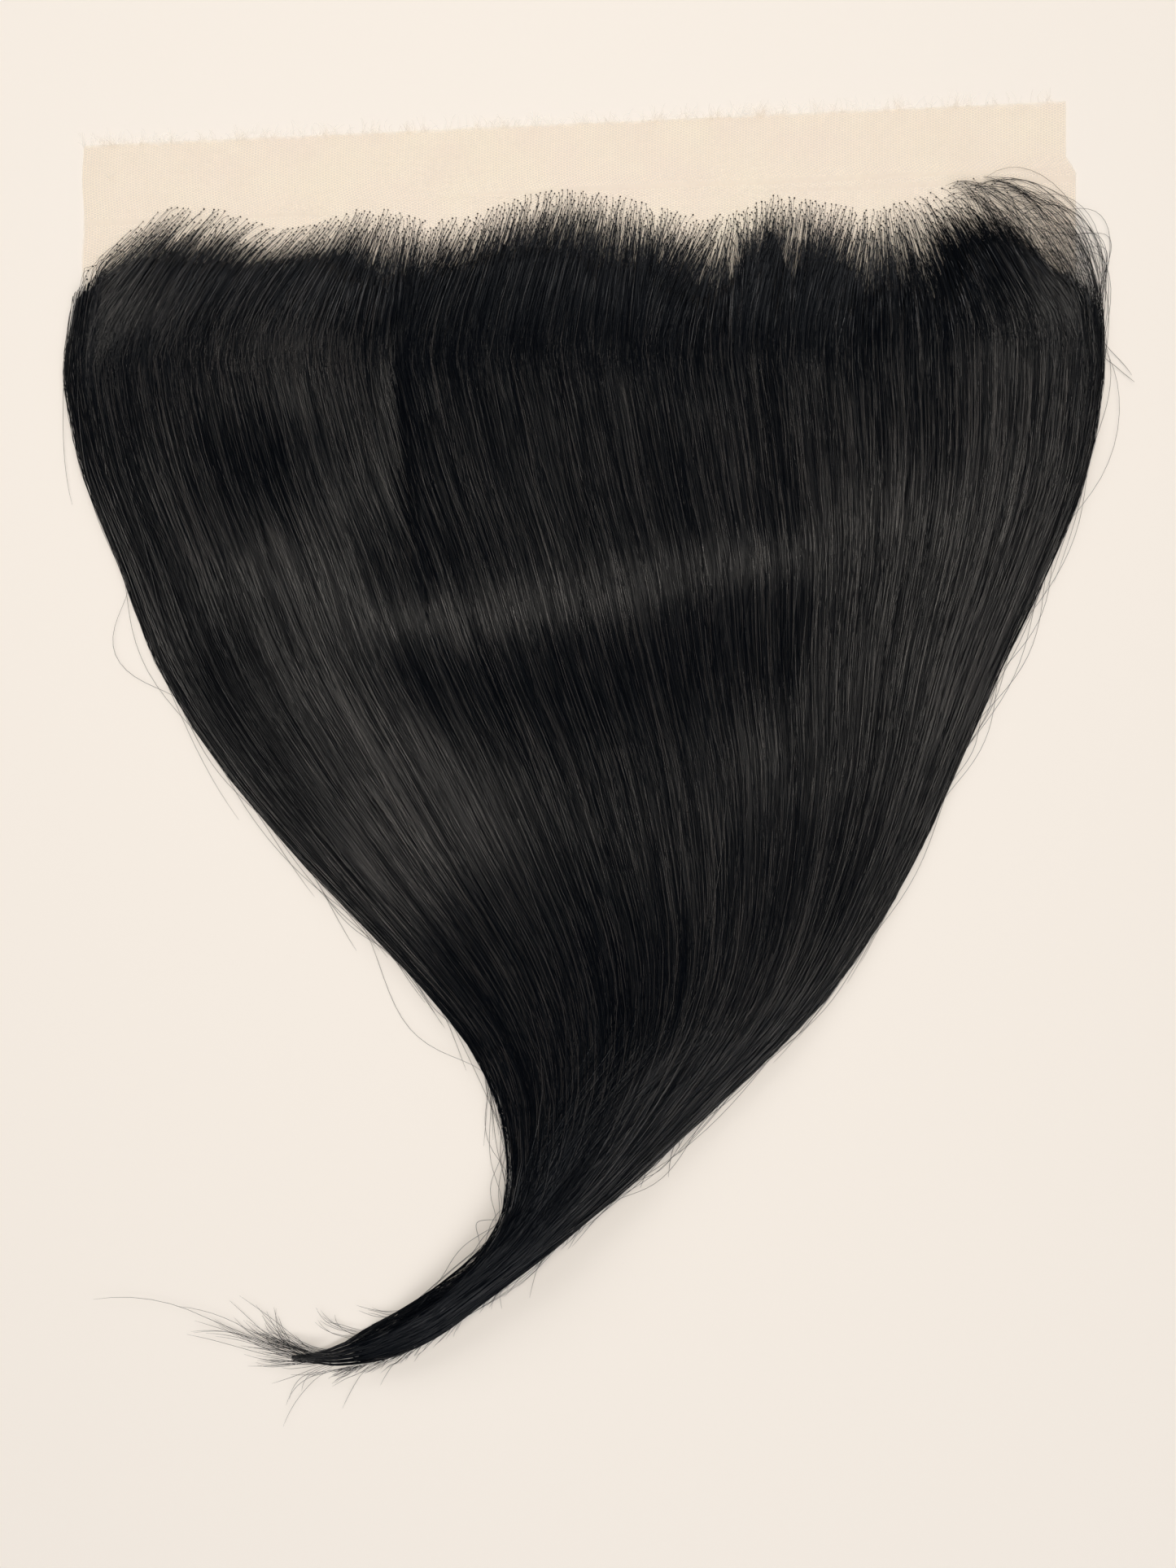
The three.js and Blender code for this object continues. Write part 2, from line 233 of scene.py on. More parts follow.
left_rim = thread_points(bend_x - THREAD_WIDTH / 2, bend_y)
right_rim = thread_points(bend_x + THREAD_WIDTH / 2, bend_y)
number = column * rows + row
zigzag = shown[:, :-1] & shown[:, 1:]
here, after = number[:, :-1][zigzag], number[:, 1:][zigzag]
count = columns * rows
zigzag_faces = np.stack([here, after, after + count, here + count], axis=1)
looped = (outward[:-1] == 1) & shown[:-1] & shown[1:]
inner, outer = number[:-1][looped], number[1:][looped]
link_ends = [
    (right_rim.reshape(-1, 3)[inner], -THREAD_WIDTH / 2),
    (left_rim.reshape(-1, 3)[outer], -THREAD_WIDTH / 2),
    (left_rim.reshape(-1, 3)[outer], THREAD_WIDTH / 2),
    (right_rim.reshape(-1, 3)[inner], THREAD_WIDTH / 2),
]
link_points = np.stack([end + np.array([0, shift, -LINK_DROP]) for end, shift in link_ends], axis=1)
link_faces = 2 * count + np.arange(4 * len(inner)).reshape(-1, 4)
net_threads = make_piece(
    "net_threads",
    np.concatenate([left_rim.reshape(-1, 3), right_rim.reshape(-1, 3), link_points.reshape(-1, 3)]),
    [zigzag_faces, link_faces],
    threads_material,
)

# The cut edge
# The front edge is cut and not hemmed, so the ends of the nylon threads have sprung out along
# it, curled, in small uneven tufts. At the left a thread has been pulled into a small curl.
FRAY_ENDS = 1100
FRAY_LENGTH = (1.2 * MM, 5.5 * MM)
FRAY_THICKNESS = 0.1 * MM
FRAY_SPREAD = math.radians(55)
FRAY_CURL = math.radians(80)
FRAY_STEPS = 5
FRAY_PLACES = 240  # the ends spring out more thickly where these places come close together
FRAY_START = 1.2 * MM  # at most this far behind the cut
FRAY_LIFT = 0.15 * MM
FRAY_RISE = (0.05, 0.4)
FRAY_COLOUR = (0.93, 0.84, 0.7, 1)
FRAY_SHADES = ((0.35, (0.95, 0.85, 0.72, 1)), (0.6, (1.0, 0.96, 0.88, 1)))
FRAY_SHEERNESS = 0.55
SNAG = (-155.3 * MM, 9.7 * MM)
SNAG_SPREAD = 0.4 * MM
SNAG_ENDS = 8
SNAG_LENGTH = 2.4 * MM
SNAG_CURL = 2.5  # times the curl of the others


def between(limits, share):
    """The value at a share of the way from one limit to the other."""
    return limits[0] + (limits[1] - limits[0]) * share


def fibres(paths, thickness, taper=0.5, closed=True):
    """Three-sided fibres along paths[fibre, step], ridge up. Open ones have no underside."""
    count, steps, _ = paths.shape
    ahead = np.gradient(paths, axis=1)
    ahead /= np.linalg.norm(ahead, axis=2, keepdims=True) + 1e-12
    side = np.cross(ahead, [0, 0, 1])
    side /= np.linalg.norm(side, axis=2, keepdims=True) + 1e-12
    over = np.cross(side, ahead)
    place = np.linspace(-1, 1, steps)
    radius = (thickness[:, None] / 2 * (1 - (1 - taper) * place[None, :] ** 4))[..., None]
    points = np.stack([paths + radius * side, paths + radius * over, paths - radius * side], axis=2)
    base = (np.arange(count)[:, None, None] * steps + np.arange(steps - 1)[None, :, None]) * 3
    corner = np.arange(3 if closed else 2)[None, None, :]
    following = (corner + 1) % 3
    sides = np.stack([base + corner, base + 3 + corner, base + 3 + following, base + following], axis=-1)
    faces = [sides.reshape(-1, 4)]
    if closed:
        first = np.arange(count)[:, None] * steps * 3
        faces.append(np.concatenate([first + [[0, 1, 2]], first + (steps - 1) * 3 + [[0, 2, 1]]]))
    return points.reshape(-1, 3), faces


fray_material, shader = mottled_material(
    "cut_ends", FRAY_COLOUR, roughness=0.6, gloss=0.3, grain=90, detail=2, shades=FRAY_SHADES
)
shader.inputs["Alpha"].default_value = FRAY_SHEERNESS

tuft = rng.random(FRAY_ENDS)
tuft = np.interp(tuft, np.linspace(0, 1, FRAY_PLACES), np.sort(rng.random(FRAY_PLACES)))
fray_x = NET_LOW.x + (NET_WIDTH - FRONT_TUCK) * tuft
fray_length = between(FRAY_LENGTH, rng.random(FRAY_ENDS) ** 1.7)  # most are short
heading = math.pi / 2 + FRAY_SPREAD * rng.normal(0, 0.55, FRAY_ENDS)
curl = FRAY_CURL * rng.normal(0, 1, FRAY_ENDS)
fray = np.empty((FRAY_ENDS, FRAY_STEPS + 1, 3))
fray[:, 0, 0] = fray_x
fray[:, 0, 1] = front_edge(fray_x) - rng.random(FRAY_ENDS) * FRAY_START
fray[:, 0, 2] = NET_LIFT + FRAY_LIFT
rise = between(FRAY_RISE, rng.random(FRAY_ENDS))
fray[:SNAG_ENDS, 0, :2] = np.array(SNAG) + rng.normal(0, SNAG_SPREAD, (SNAG_ENDS, 2))
fray_length[:SNAG_ENDS] = SNAG_LENGTH
curl[:SNAG_ENDS] *= SNAG_CURL
for step in range(FRAY_STEPS):
    angle = heading + curl * step / FRAY_STEPS
    reach = fray_length / FRAY_STEPS
    fray[:, step + 1, 0] = fray[:, step, 0] + reach * np.cos(angle)
    fray[:, step + 1, 1] = fray[:, step, 1] + reach * np.sin(angle)
    fray[:, step + 1, 2] = fray[:, step, 2] + reach * rise
fray_points, fray_faces = fibres(fray, np.full(FRAY_ENDS, FRAY_THICKNESS), closed=False)
frayed_edge = make_piece("frayed_edge", fray_points, fray_faces, fray_material)

# The six locks
# Straight black hair about 18 inches long is knotted into the net and combed back in six broad
# locks. It starts aslant, swings into line within two inches, and runs together towards the
# tail. Behind the first rows of knots it is so dense that nothing shows through.

# Each row below is a line across the hair: its ends, from the middle and down from the
# hairline, are shares of the hair's full width and fall.
ROWS = np.array([
    # left, its drop, right, its drop
    [-0.477, 0.0, 0.477, 0.0],
    [-0.49, 0.101, 0.501, 0.091],
    [-0.495, 0.146, 0.503, 0.139],
    [-0.477, 0.227, 0.487, 0.227],
    [-0.441, 0.31, 0.451, 0.31],
    [-0.405, 0.394, 0.406, 0.394],
    [-0.345, 0.478, 0.364, 0.478],
    [-0.266, 0.561, 0.321, 0.561],
    [-0.187, 0.634, 0.272, 0.634],
    [-0.125, 0.694, 0.217, 0.697],
    [-0.084, 0.749, 0.149, 0.753],
    [-0.068, 0.812, 0.071, 0.816],
    [-0.073, 0.854, 0.01, 0.859],
    [-0.09, 0.884, -0.036, 0.892],
    [-0.119, 0.911, -0.084, 0.925],
    [-0.156, 0.935, -0.133, 0.959],
    [-0.195, 0.955, -0.181, 0.981],
    [-0.229, 0.968, -0.224, 0.99],
    [-0.258, 0.974, -0.256, 0.991],
    [-0.285, 0.979, -0.285, 0.988],
])
LEFT, LEFT_DROP, RIGHT, RIGHT_DROP = range(4)
NECK = 11
TIP = len(ROWS) - 1
HAIR_WIDTH = NET_WIDTH / (2 * ROWS[0, RIGHT])
HAIR_FALL = -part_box("tail")[1].y / ROWS[NECK, LEFT_DROP]

# The crests and dips of the hairline: place across the net, and how far forward, in mm.
HAIRLINE = np.array([
    [-0.5, -23], [-0.48, -16], [-0.462, -10], [-0.435, -3], [-0.409, 0], [-0.36, -1], [-0.303, -7.6],
    [-0.27, -6], [-0.217, 0], [-0.19, -1], [-0.155, -4.6], [-0.11, -3], [-0.06, 3.5], [-0.02, 6],
    [0.03, 4.5], [0.08, 0], [0.127, -3.5], [0.16, -1], [0.196, 4.1], [0.23, 2.5], [0.291, -1.1],
    [0.34, 3], [0.38, 8.5], [0.405, 10.3], [0.43, 6], [0.454, -4], [0.48, -17], [0.5, -27],
])

# How each hair leaves its knot: place across the net, its lean from straight back in degrees
# (to the right is more than 0), and the arc it makes, sideways and forward in mm.
COMBING = np.array([
    [0.0, -28, 0, 0.2],
    [0.03, -37, 0, 0.3],
    [0.065, -42, 0, 0.3],
    [0.1, -38, 0.2, 0.3],
    [0.13, -30, 0.2, 0.3],
    [0.163, -29, 0.3, 0.2],
    [0.195, -29, 0.2, 0.2],
    [0.226, -28, 0.2, 0.3],
    [0.26, -29, 0.2, 0.3],
    [0.285, -25, 0.2, 0.2],
    [0.31, -14, 0.3, 0.2],
    [0.336, -6, 0.2, 0.2],
    [0.38, -22, 0.4, 0.2],
    [0.444, -19, 0.4, 0.3],
    [0.478, -22, 0.3, 0.3],
    [0.508, -19, 0.3, 0.3],
    [0.568, -12, 0.3, 0.2],
    [0.606, -25, 0.4, 0.2],
    [0.642, -30, 0.4, 0.2],
    [0.662, -10, 0.5, 0.3],
    [0.7, -24, 0.5, 0.6],
    [0.73, -17, 0.3, 0.6],
    [0.77, -27, 0.3, 0.3],
    [0.795, -18, 0.2, 0.4],
    [0.82, 0, 0.3, 0.7],
    [0.845, 14, 0.4, 1],
    [0.87, 24, 0.6, 1.2],
    [0.905, 28, 0.9, 1.4],
    [0.94, 31, 1.2, 1.4],
    [0.975, 38, 1.6, 1.0],
    [1.0, 34, 1.2, 0.5],
])
LEAN_KEPT = (0.3, 1.6)  # rows from which the lean fades, and by which it is gone
SIDE_MARGIN = 0.03  # in this share of the breadth the lean eases, so no hair leaves the side
# Further down, the whole breadth is combed over to the right: row, and share of the breadth.
DRIFT = np.array([[1.9, 0], [3.2, 0.026], [4.4, 0.062], [6, 0.118], [8, 0.15], [11, 0.16]])
SEARCH_STEPS = 40  # to find the root of a hair from a place further down it


def along_rows(side, row):
    """A column of ROWS at fractional rows, on a smooth curve through its values."""
    values = ROWS[:, side]
    slopes = np.gradient(values)
    k = np.clip(np.floor(row).astype(int), 0, TIP - 1)
    t = row - k
    a, b, da, db = values[k], values[k + 1], slopes[k], slopes[k + 1]
    return a + t * da + t * t * (3 * (b - a) - 2 * da - db) + t**3 * (2 * (a - b) + da + db)


def hairline(x):
    return np.interp(x / NET_WIDTH, HAIRLINE[:, 0], HAIRLINE[:, 1]) * MM


def lie(across, row):
    """Where the hair is, seen from above, at a share across it and a row down it."""
    left, right = along_rows(LEFT, row), along_rows(RIGHT, row)
    drop_left, drop_right = along_rows(LEFT_DROP, row), along_rows(RIGHT_DROP, row)
    x = (left + (right - left) * across) * HAIR_WIDTH
    y = -(drop_left + (drop_right - drop_left) * across) * HAIR_FALL
    return x, y + np.clip(1 - row, 0, 1) ** 2 * hairline(x)


def combed(root, row):
    """Where a hair that is rooted at a share across the hairline has got to, at a row."""
    begin, end = LEAN_KEPT
    t = np.clip((row - begin) / (end - begin), 0, 1)
    gone = np.clip(row, 0, begin) + (end - begin) * (t - t**3 + t**4 / 2)
    lean = np.tan(np.radians(np.interp(root, COMBING[:, 0], COMBING[:, 1])))
    across = root + lean * gone * ROWS[1, LEFT_DROP] * HAIR_FALL / HAIR_WIDTH
    left_limit = SIDE_MARGIN * (1 - np.exp(-root / SIDE_MARGIN))
    right_limit = 1 - SIDE_MARGIN * (1 - np.exp((root - 1) / SIDE_MARGIN))
    across = np.clip(across, left_limit, right_limit)
    return across + 4 * across * (1 - across) * np.interp(row, DRIFT[:, 0], DRIFT[:, 1])


def uncombed(across, row):
    """The root of the hair that gets to a share across at a row."""
    root = across
    for _ in range(SEARCH_STEPS):
        root = np.clip(root + 0.7 * (across - combed(root, row)), 0, 1)
    return root


def width_at(row):
    return (along_rows(RIGHT, row) - along_rows(LEFT, row)) * HAIR_WIDTH


def length_between(row):
    """Length of the hair's middle line from the hairline to each row."""
    rows = np.linspace(0, TIP, 400)
    x, y = lie(np.full_like(rows, 0.5), rows)
    length = np.concatenate([[0], np.cumsum(np.hypot(np.diff(x), np.diff(y)))])
    return np.interp(row, rows, length)


# The height of the locks' upper side, read from the frame on a fine grid. The gaps between the
# locks are closed, because loose hair runs over them, and the facets are smoothed away.
HEIGHT_STEP = 1.5 * MM
GAP_REACH = 8  # grid steps
SMOOTHING_PASSES = 14
GRID_MARGIN = 20 * MM
FULL_HAIR = (2.5 * MM, 7 * MM)  # the swells fade in between these heights of the hair
TOP_CLEARANCE = 0.3 * MM
# Humps that break the sheen into patches: place from the middle and down from the hairline, as
# shares of the width and the fall, then reach across, reach along and height in mm.
SWELLS = np.array([
    [-0.03, 0.34, 50, 34, 4.2],
    [0.125, 0.31, 32, 32, 3.2],
    [-0.3, 0.285, 28, 24, 5.0],
    [-0.314, 0.42, 16, 15, 2.2],
    [-0.162, 0.355, 14, 16, 2.4],
    [-0.39, 0.17, 16, 20, 1.2],
    [-0.285, 0.093, 32, 21, 3.6],
    [0.19, 0.305, 20, 17, 2.4],
    [0.33, 0.24, 20, 26, 1.4],
    [-0.134, 0.59, 28, 28, 2.4],
    [0.06, 0.62, 24, 26, 1.4],
    [-0.25, 0.47, 20, 24, 1.5],
    [0.22, 0.5, 20, 24, 1.0],
])
# Where the hair parts: across and row at its start, across and row at its end, and its depth
# and half width in mm.
PARTINGS = np.array([
    [0.326, 0.4, 0.316, 4.4, 3.0, 2.8],
    [0.678, 0.2, 0.68, 2.6, 1.5, 2.2],
    [0.792, 1.0, 0.845, 3.1, 1.3, 1.8],
])
hair_nodes = [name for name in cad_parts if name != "lace_net"]
corners, triangles = [], []
for name in hair_nodes:
    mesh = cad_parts[name].data
    first_corner = len(corners)
    triangles += [[first_corner + v for v in face.vertices] for face in mesh.polygons]
    corners += [v.co.copy() for v in mesh.vertices]
solid = BVHTree.FromPolygons(corners, triangles)
low, high = cad_box
grid_x = np.arange(low[0] - GRID_MARGIN, high[0] + GRID_MARGIN, HEIGHT_STEP)
grid_y = np.arange(low[1] - GRID_MARGIN, high[1] + GRID_MARGIN, HEIGHT_STEP)
heights = np.zeros((len(grid_x), len(grid_y)))
for i, x in enumerate(grid_x):
    for j, y in enumerate(grid_y):
        hit = solid.ray_cast(Vector((x, y, 1)), Vector((0, 0, -1)))[0]
        heights[i, j] = hit.z if hit else 0


def running(values, reach, pick):
    """The largest or smallest value within reach, along the first axis."""
    result = values.copy()
    for shift in range(-reach, reach + 1):
        result = pick(result, np.roll(values, shift, axis=0))
    return result


def spot(x, y, across, drop, wide, long):
    """1 in the middle of a soft spot on the hair, given as in SWELLS, and 0 well outside it."""
    away_x = (x - across * HAIR_WIDTH) / (wide * MM)
    away_y = (y + drop * HAIR_FALL) / (long * MM)
    return np.exp(-(away_x**2) - away_y**2)


heights = running(running(heights, GAP_REACH, np.maximum), GAP_REACH, np.minimum)
covered = heights > 0
for _ in range(SMOOTHING_PASSES):
    weight = covered.astype(float)
    total, sum_of_weights = heights * weight * 2, weight * 2
    for axis in (0, 1):
        for shift in (-1, 1):
            total += np.roll(heights * weight, shift, axis)
            sum_of_weights += np.roll(weight, shift, axis)
    heights = np.where(covered, total / np.maximum(sum_of_weights, 1e-9), 0)
cell_x, cell_y = np.meshgrid(grid_x, grid_y, indexing="ij")
fullness = fade(heights, *FULL_HAIR)
for across, drop, wide, long, rise in SWELLS:
    heights += rise * MM * fullness * spot(cell_x, cell_y, across, drop, wide, long)
for across, row, end_across, end_row, depth, half_width in PARTINGS:
    t = np.linspace(0, 1, 60)
    line_x, line_y = lie(across + (end_across - across) * t, row + (end_row - row) * t)
    away = np.hypot(cell_x[..., None] - line_x, cell_y[..., None] - line_y)
    along = t[away.argmin(axis=-1)]
    groove = np.exp(-((away.min(axis=-1) / (half_width * MM)) ** 2))
    heights -= depth * MM * np.sin(math.pi * along) ** 0.7 * groove * (heights > depth * MM)
heights = np.minimum(heights, high[2] - TOP_CLEARANCE)


def hair_top(x, y):
    """Height of the hair's upper side over a point of the table."""
    u = np.clip((x - grid_x[0]) / HEIGHT_STEP, 0, len(grid_x) - 1.001)
    v = np.clip((y - grid_y[0]) / HEIGHT_STEP, 0, len(grid_y) - 1.001)
    i, j = u.astype(int), v.astype(int)
    u, v = u - i, v - j
    near = heights[i, j] * (1 - u) + heights[i + 1, j] * u
    far = heights[i, j + 1] * (1 - u) + heights[i + 1, j + 1] * u
    return near * (1 - v) + far * v


# Each lock is a body of packed hair, with single hairs combed over it that come up and dive
# under again. It stands for its solid in the frame, between two shares of the hair's breadth.
LOCKS = {
    "lock_left_edge": (0, 0.17),
    "lock_left": (0.17, 0.33),
    "lock_centre_left": (0.33, 0.5),
    "lock_centre_right": (0.5, 0.68),
    "lock_right": (0.68, 0.82),
    "lock_right_edge": (0.82, 1),
}
# Where the hair turns opaque: place across the net, and how far behind the hairline, in mm.
OPAQUE = np.array([
    [-0.5, 7], [-0.46, 12], [-0.42, 15.5], [-0.39, 17], [-0.354, 18.5], [-0.313, 14], [-0.272, 12],
    [-0.239, 13], [-0.215, 20], [-0.19, 27], [-0.165, 17.5], [-0.143, 21], [-0.125, 17], [-0.104, 20],
    [-0.083, 17], [-0.039, 19], [0.004, 22], [0.025, 24], [0.047, 23], [0.069, 21], [0.09, 22],
    [0.134, 26], [0.151, 30], [0.17, 17.5], [0.19, 12.5], [0.203, 26], [0.2156, 39], [0.226, 26],
    [0.236, 20], [0.2566, 18], [0.27, 26], [0.28, 33], [0.293, 34], [0.307, 26], [0.323, 31],
    [0.336, 36], [0.347, 29], [0.359, 22], [0.384, 20.5], [0.436, 21], [0.461, 12], [0.487, 8], [0.5, 8],
])
BODY_COLUMNS = 52
BODY_SECTIONS = 40
BODY_BELOW = 0.7 * MM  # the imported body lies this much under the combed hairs
BODY_FLOOR = 0.5 * MM
EDGE_INSET = 1.2 * MM
BODY_FRINGE = 1.6 * MM  # how far its front edge is in and out
FRONT_SLOPE = (-0.02, 0.08)  # the shares of its length over which a lock's front edge rises
FRONT_ROWS = 3  # the hair has turned opaque within this many rows
TIP_DROP = (14.8, 18)  # rows between which the tail comes down to the table
TIP_THINNING = 0.75
HAIR_COLOUR = (0.006, 0.0055, 0.005, 1)
HAIR_IOR = 1.55
HAIR_TONES = (
    (0.15, (0.0016, 0.0022, 0.0036, 1)),
    (0.65, (0.0048, 0.005, 0.0056, 1)),
    (1, (0.023, 0.019, 0.0165, 1)),
)
HAIR_ROUGHNESS = (0.15, 0.25)  # of the darkest hairs and of the lightest
HAIR_GLOSS = (0, 0.62)
BODY_COLOUR = (0.004, 0.0036, 0.0034, 1)
BODY_GLOSS = 0.12
BODY_TONES = ((0.4, (0.0014, 0.0019, 0.003, 1)), (0.75, (0.0095, 0.0088, 0.0085, 1)))
STREAKS = (2400, 40, 1)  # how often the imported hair's streaks come, across and along
STREAK_DEPTH = 0.25 * MM
STREAK_STRENGTH = 0.6

hair_material, tree, shader = new_material("hair", HAIR_COLOUR, 0.26)
shader.inputs["IOR"].default_value = HAIR_IOR
tone = tree.nodes.new("ShaderNodeAttribute")
tone.attribute_name = "tone"
colour = tree.nodes.new("ShaderNodeValToRGB")
set_shades(colour.color_ramp, HAIR_TONES)
connect(tree, tone.outputs["Fac"], colour.inputs["Fac"])
connect(tree, colour.outputs["Color"], shader.inputs["Base Color"])
for socket, limits in (("Roughness", HAIR_ROUGHNESS), ("Specular IOR Level", HAIR_GLOSS)):
    spread = tree.nodes.new("ShaderNodeMapRange")
    spread.inputs["To Min"].default_value, spread.inputs["To Max"].default_value = limits
    connect(tree, tone.outputs["Fac"], spread.inputs["Value"])
    connect(tree, spread.outputs["Result"], shader.inputs[socket])

body_material, tree, shader = new_material("packed_hair", BODY_COLOUR, 0.36)
shader.inputs["IOR"].default_value = HAIR_IOR
shader.inputs["Specular IOR Level"].default_value = BODY_GLOSS
unrolled = tree.nodes.new("ShaderNodeUVMap")
unrolled.uv_map = "combed"
stretch = tree.nodes.new("ShaderNodeMapping")
stretch.inputs["Scale"].default_value = STREAKS
streaks = tree.nodes.new("ShaderNodeTexNoise")
streaks.inputs["Scale"].default_value = 1
streaks.inputs["Detail"].default_value = 5
streaks.inputs["Roughness"].default_value = 0.7
colour = tree.nodes.new("ShaderNodeValToRGB")
set_shades(colour.color_ramp, BODY_TONES)
ridges = tree.nodes.new("ShaderNodeBump")
ridges.inputs["Strength"].default_value = STREAK_STRENGTH
ridges.inputs["Distance"].default_value = STREAK_DEPTH
connect(tree, unrolled.outputs["UV"], stretch.inputs["Vector"])
connect(tree, stretch.outputs["Vector"], streaks.inputs["Vector"])
connect(tree, streaks.outputs["Fac"], colour.inputs["Fac"])
connect(tree, colour.outputs["Color"], shader.inputs["Base Color"])
connect(tree, streaks.outputs["Fac"], ridges.inputs["Height"])
connect(tree, ridges.outputs["Normal"], shader.inputs["Normal"])


def opaque_row(across):
    """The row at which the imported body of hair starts, at a share across the hair."""
    x = (across * 2 - 1) * NET_WIDTH / 2
    start_y = hairline(x) - np.interp(x / NET_WIDTH, OPAQUE[:, 0], OPAQUE[:, 1]) * MM
    rows = np.linspace(0, FRONT_ROWS, 120)
    y = lie(across[:, None], rows[None, :])[1]
    return rows[np.abs(y - start_y[:, None]).argmin(axis=1)]


def closed_body(name, upper, lower, unrolled_places, material):
    """A solid between two grids of points, with a UV map that follows the hair."""
    rows, columns = upper.shape[:2]
    count = rows * columns
    top = grid_faces(rows, columns)
    bottom = top[:, ::-1] + count
    rim = np.concatenate([
        np.arange(columns),
        np.arange(1, rows) * columns + columns - 1,
        (rows - 1) * columns + np.arange(columns - 2, -1, -1),
        np.arange(rows - 2, 0, -1) * columns,
    ])
    after = np.roll(rim, -1)
    wall = np.stack([rim, after, after + count, rim + count], axis=1)
    points = np.concatenate([upper.reshape(-1, 3), lower.reshape(-1, 3)])
    piece = make_piece(name, points, [top, bottom, wall], material)
    smooth = np.arange(len(piece.data.polygons)) < len(top)
    piece.data.polygons.foreach_set("use_smooth", smooth)
    layer = piece.data.uv_layers.new(name="combed")
    places = np.tile(unrolled_places.reshape(-1, 2), (2, 1))
    corner = np.empty(len(piece.data.loops), np.int32)
    piece.data.loops.foreach_get("vertex_index", corner)
    layer.data.foreach_set("uv", places[corner].astype(np.float32).ravel())
    return piece


def thinned(row):
    """How much of its height the hair keeps on its way down to the table at the tip."""
    return 1 - TIP_THINNING * fade(row, *TIP_DROP)


def packed_body(name, start, end, first, last, columns, sections, fringe=0, narrowing=0):
    """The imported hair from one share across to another; first gives each column's first row."""
    across = np.linspace(start, end, columns)
    ragged = first + rng.normal(0, 1, columns) * fringe / HAIR_FALL / ROWS[1, LEFT_DROP]
    share = np.linspace(0, 1, sections)[:, None] ** 1.2
    row = ragged[None, :] + (last - ragged[None, :]) * share
    inset = np.minimum(EDGE_INSET / width_at(row) + narrowing * share**3, 0.47)
    across = np.clip(np.broadcast_to(across, row.shape), inset, 1 - inset)
    x, y = lie(across, row)
    z = hair_top(x, y) - BODY_BELOW
    rising = fade(share, *FRONT_SLOPE) if fringe else 1
    z = BODY_FLOOR + (z - BODY_FLOOR) * rising * thinned(row)
    upper = np.stack([x, y, np.maximum(z, BODY_FLOOR + 0.1 * MM)], axis=-1)
    # It rests on the net, and past the net's back edge on the table.
    under = np.where(y > NET_LOW.y - 2 * MM, BODY_FLOOR, 0.05 * MM)
    lower = np.stack([x, y, np.minimum(under, upper[..., 2] - 0.1 * MM)], axis=-1)
    unrolled_places = np.stack([uncombed(across, row) * HAIR_WIDTH, length_between(row)], axis=-1)
    return closed_body(name, upper, lower, unrolled_places, body_material)


def add_tone(piece, tones):
    layer = piece.data.attributes.new("tone", "FLOAT", "POINT")
    layer.data.foreach_set("value", tones.astype(np.float32))


def make_hairs(name, paths, thickness, tones, taper=0.5, closed=False):
    """Single hairs along their paths. A tone goes from 0, darkest, to 1, for each hair or point."""
    points, faces = fibres(paths, thickness, taper, closed)
    piece = make_piece(name, points, faces, hair_material)
    add_tone(piece, np.repeat(np.broadcast_to(tones.reshape(len(paths), -1), paths.shape[:2]), 3))
    return piece


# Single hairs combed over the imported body. Neighbours share something of their tone, in broad
# locklets and in narrow clumps.
HAIR_THICKNESS = (0.12 * MM, 0.2 * MM)
HAIR_STEPS = 7
HAIRS_TOTAL = 11000
HAIR_SPAN = (70 * MM, 150 * MM)
HAIR_LIFT = (-0.4, 0.3)  # over the lock's upper side in mm: the mean, and how far they differ
WANDER = 1.5 * MM
WANDER_LENGTH = 45 * MM
LOCKLETS = 46
CLUMPS = 240
TONE_SHARES = (0.2, 0.2, 0.95)  # of a hair's tone: its locklet's, its clump's and its own
# Painted sheen and painted shade on the combed hairs: soft spots where their tone, and with it their
# colour and gloss, is raised or lowered. Place from the middle and down from the hairline, as shares,
# then reach across and along in mm, and the change.
PAINTED_SHEEN_AND_SHADE = np.array([
    [-0.334, 0.392, 17, 24, -0.72],
    [-0.29, 0.458, 13, 18, -0.55],
    [-0.252, 0.506, 12, 16, -0.5],
    [-0.164, 0.392, 9, 12, -0.5],
    [-0.119, 0.485, 14, 18, -0.35],
    [-0.32, 0.125, 38, 20, 0.75],
    [-0.335, 0.28, 18, 10, 0.55],
    [-0.29, 0.218, 20, 15, -0.4],
    [0.33, 0.185, 34, 22, 0.6],
    [0.151, 0.225, 16, 12, 0.5],
    [0.05, 0.165, 40, 10, -0.25],
    [-0.164, 0.15, 5, 26, -0.35],
    [-0.091, 0.255, 16, 12, 0.35],
    [0.217, 0.444, 18, 16, -0.4],
    [0.077, 0.306, 50, 14, -0.3],
])


def pick_rows(count, first, last):
    """Rows spread so that each patch of hair gets its fair share of single hairs."""
    rows = np.linspace(first, last, 200)
    weight = width_at(rows) ** 0.8 * np.gradient(length_between(rows))
    share = np.cumsum(weight) / weight.sum()
    return np.interp(rng.random(count), share, rows)


fine_rows = np.linspace(0, TIP, 300)
fine_lengths = length_between(fine_rows)


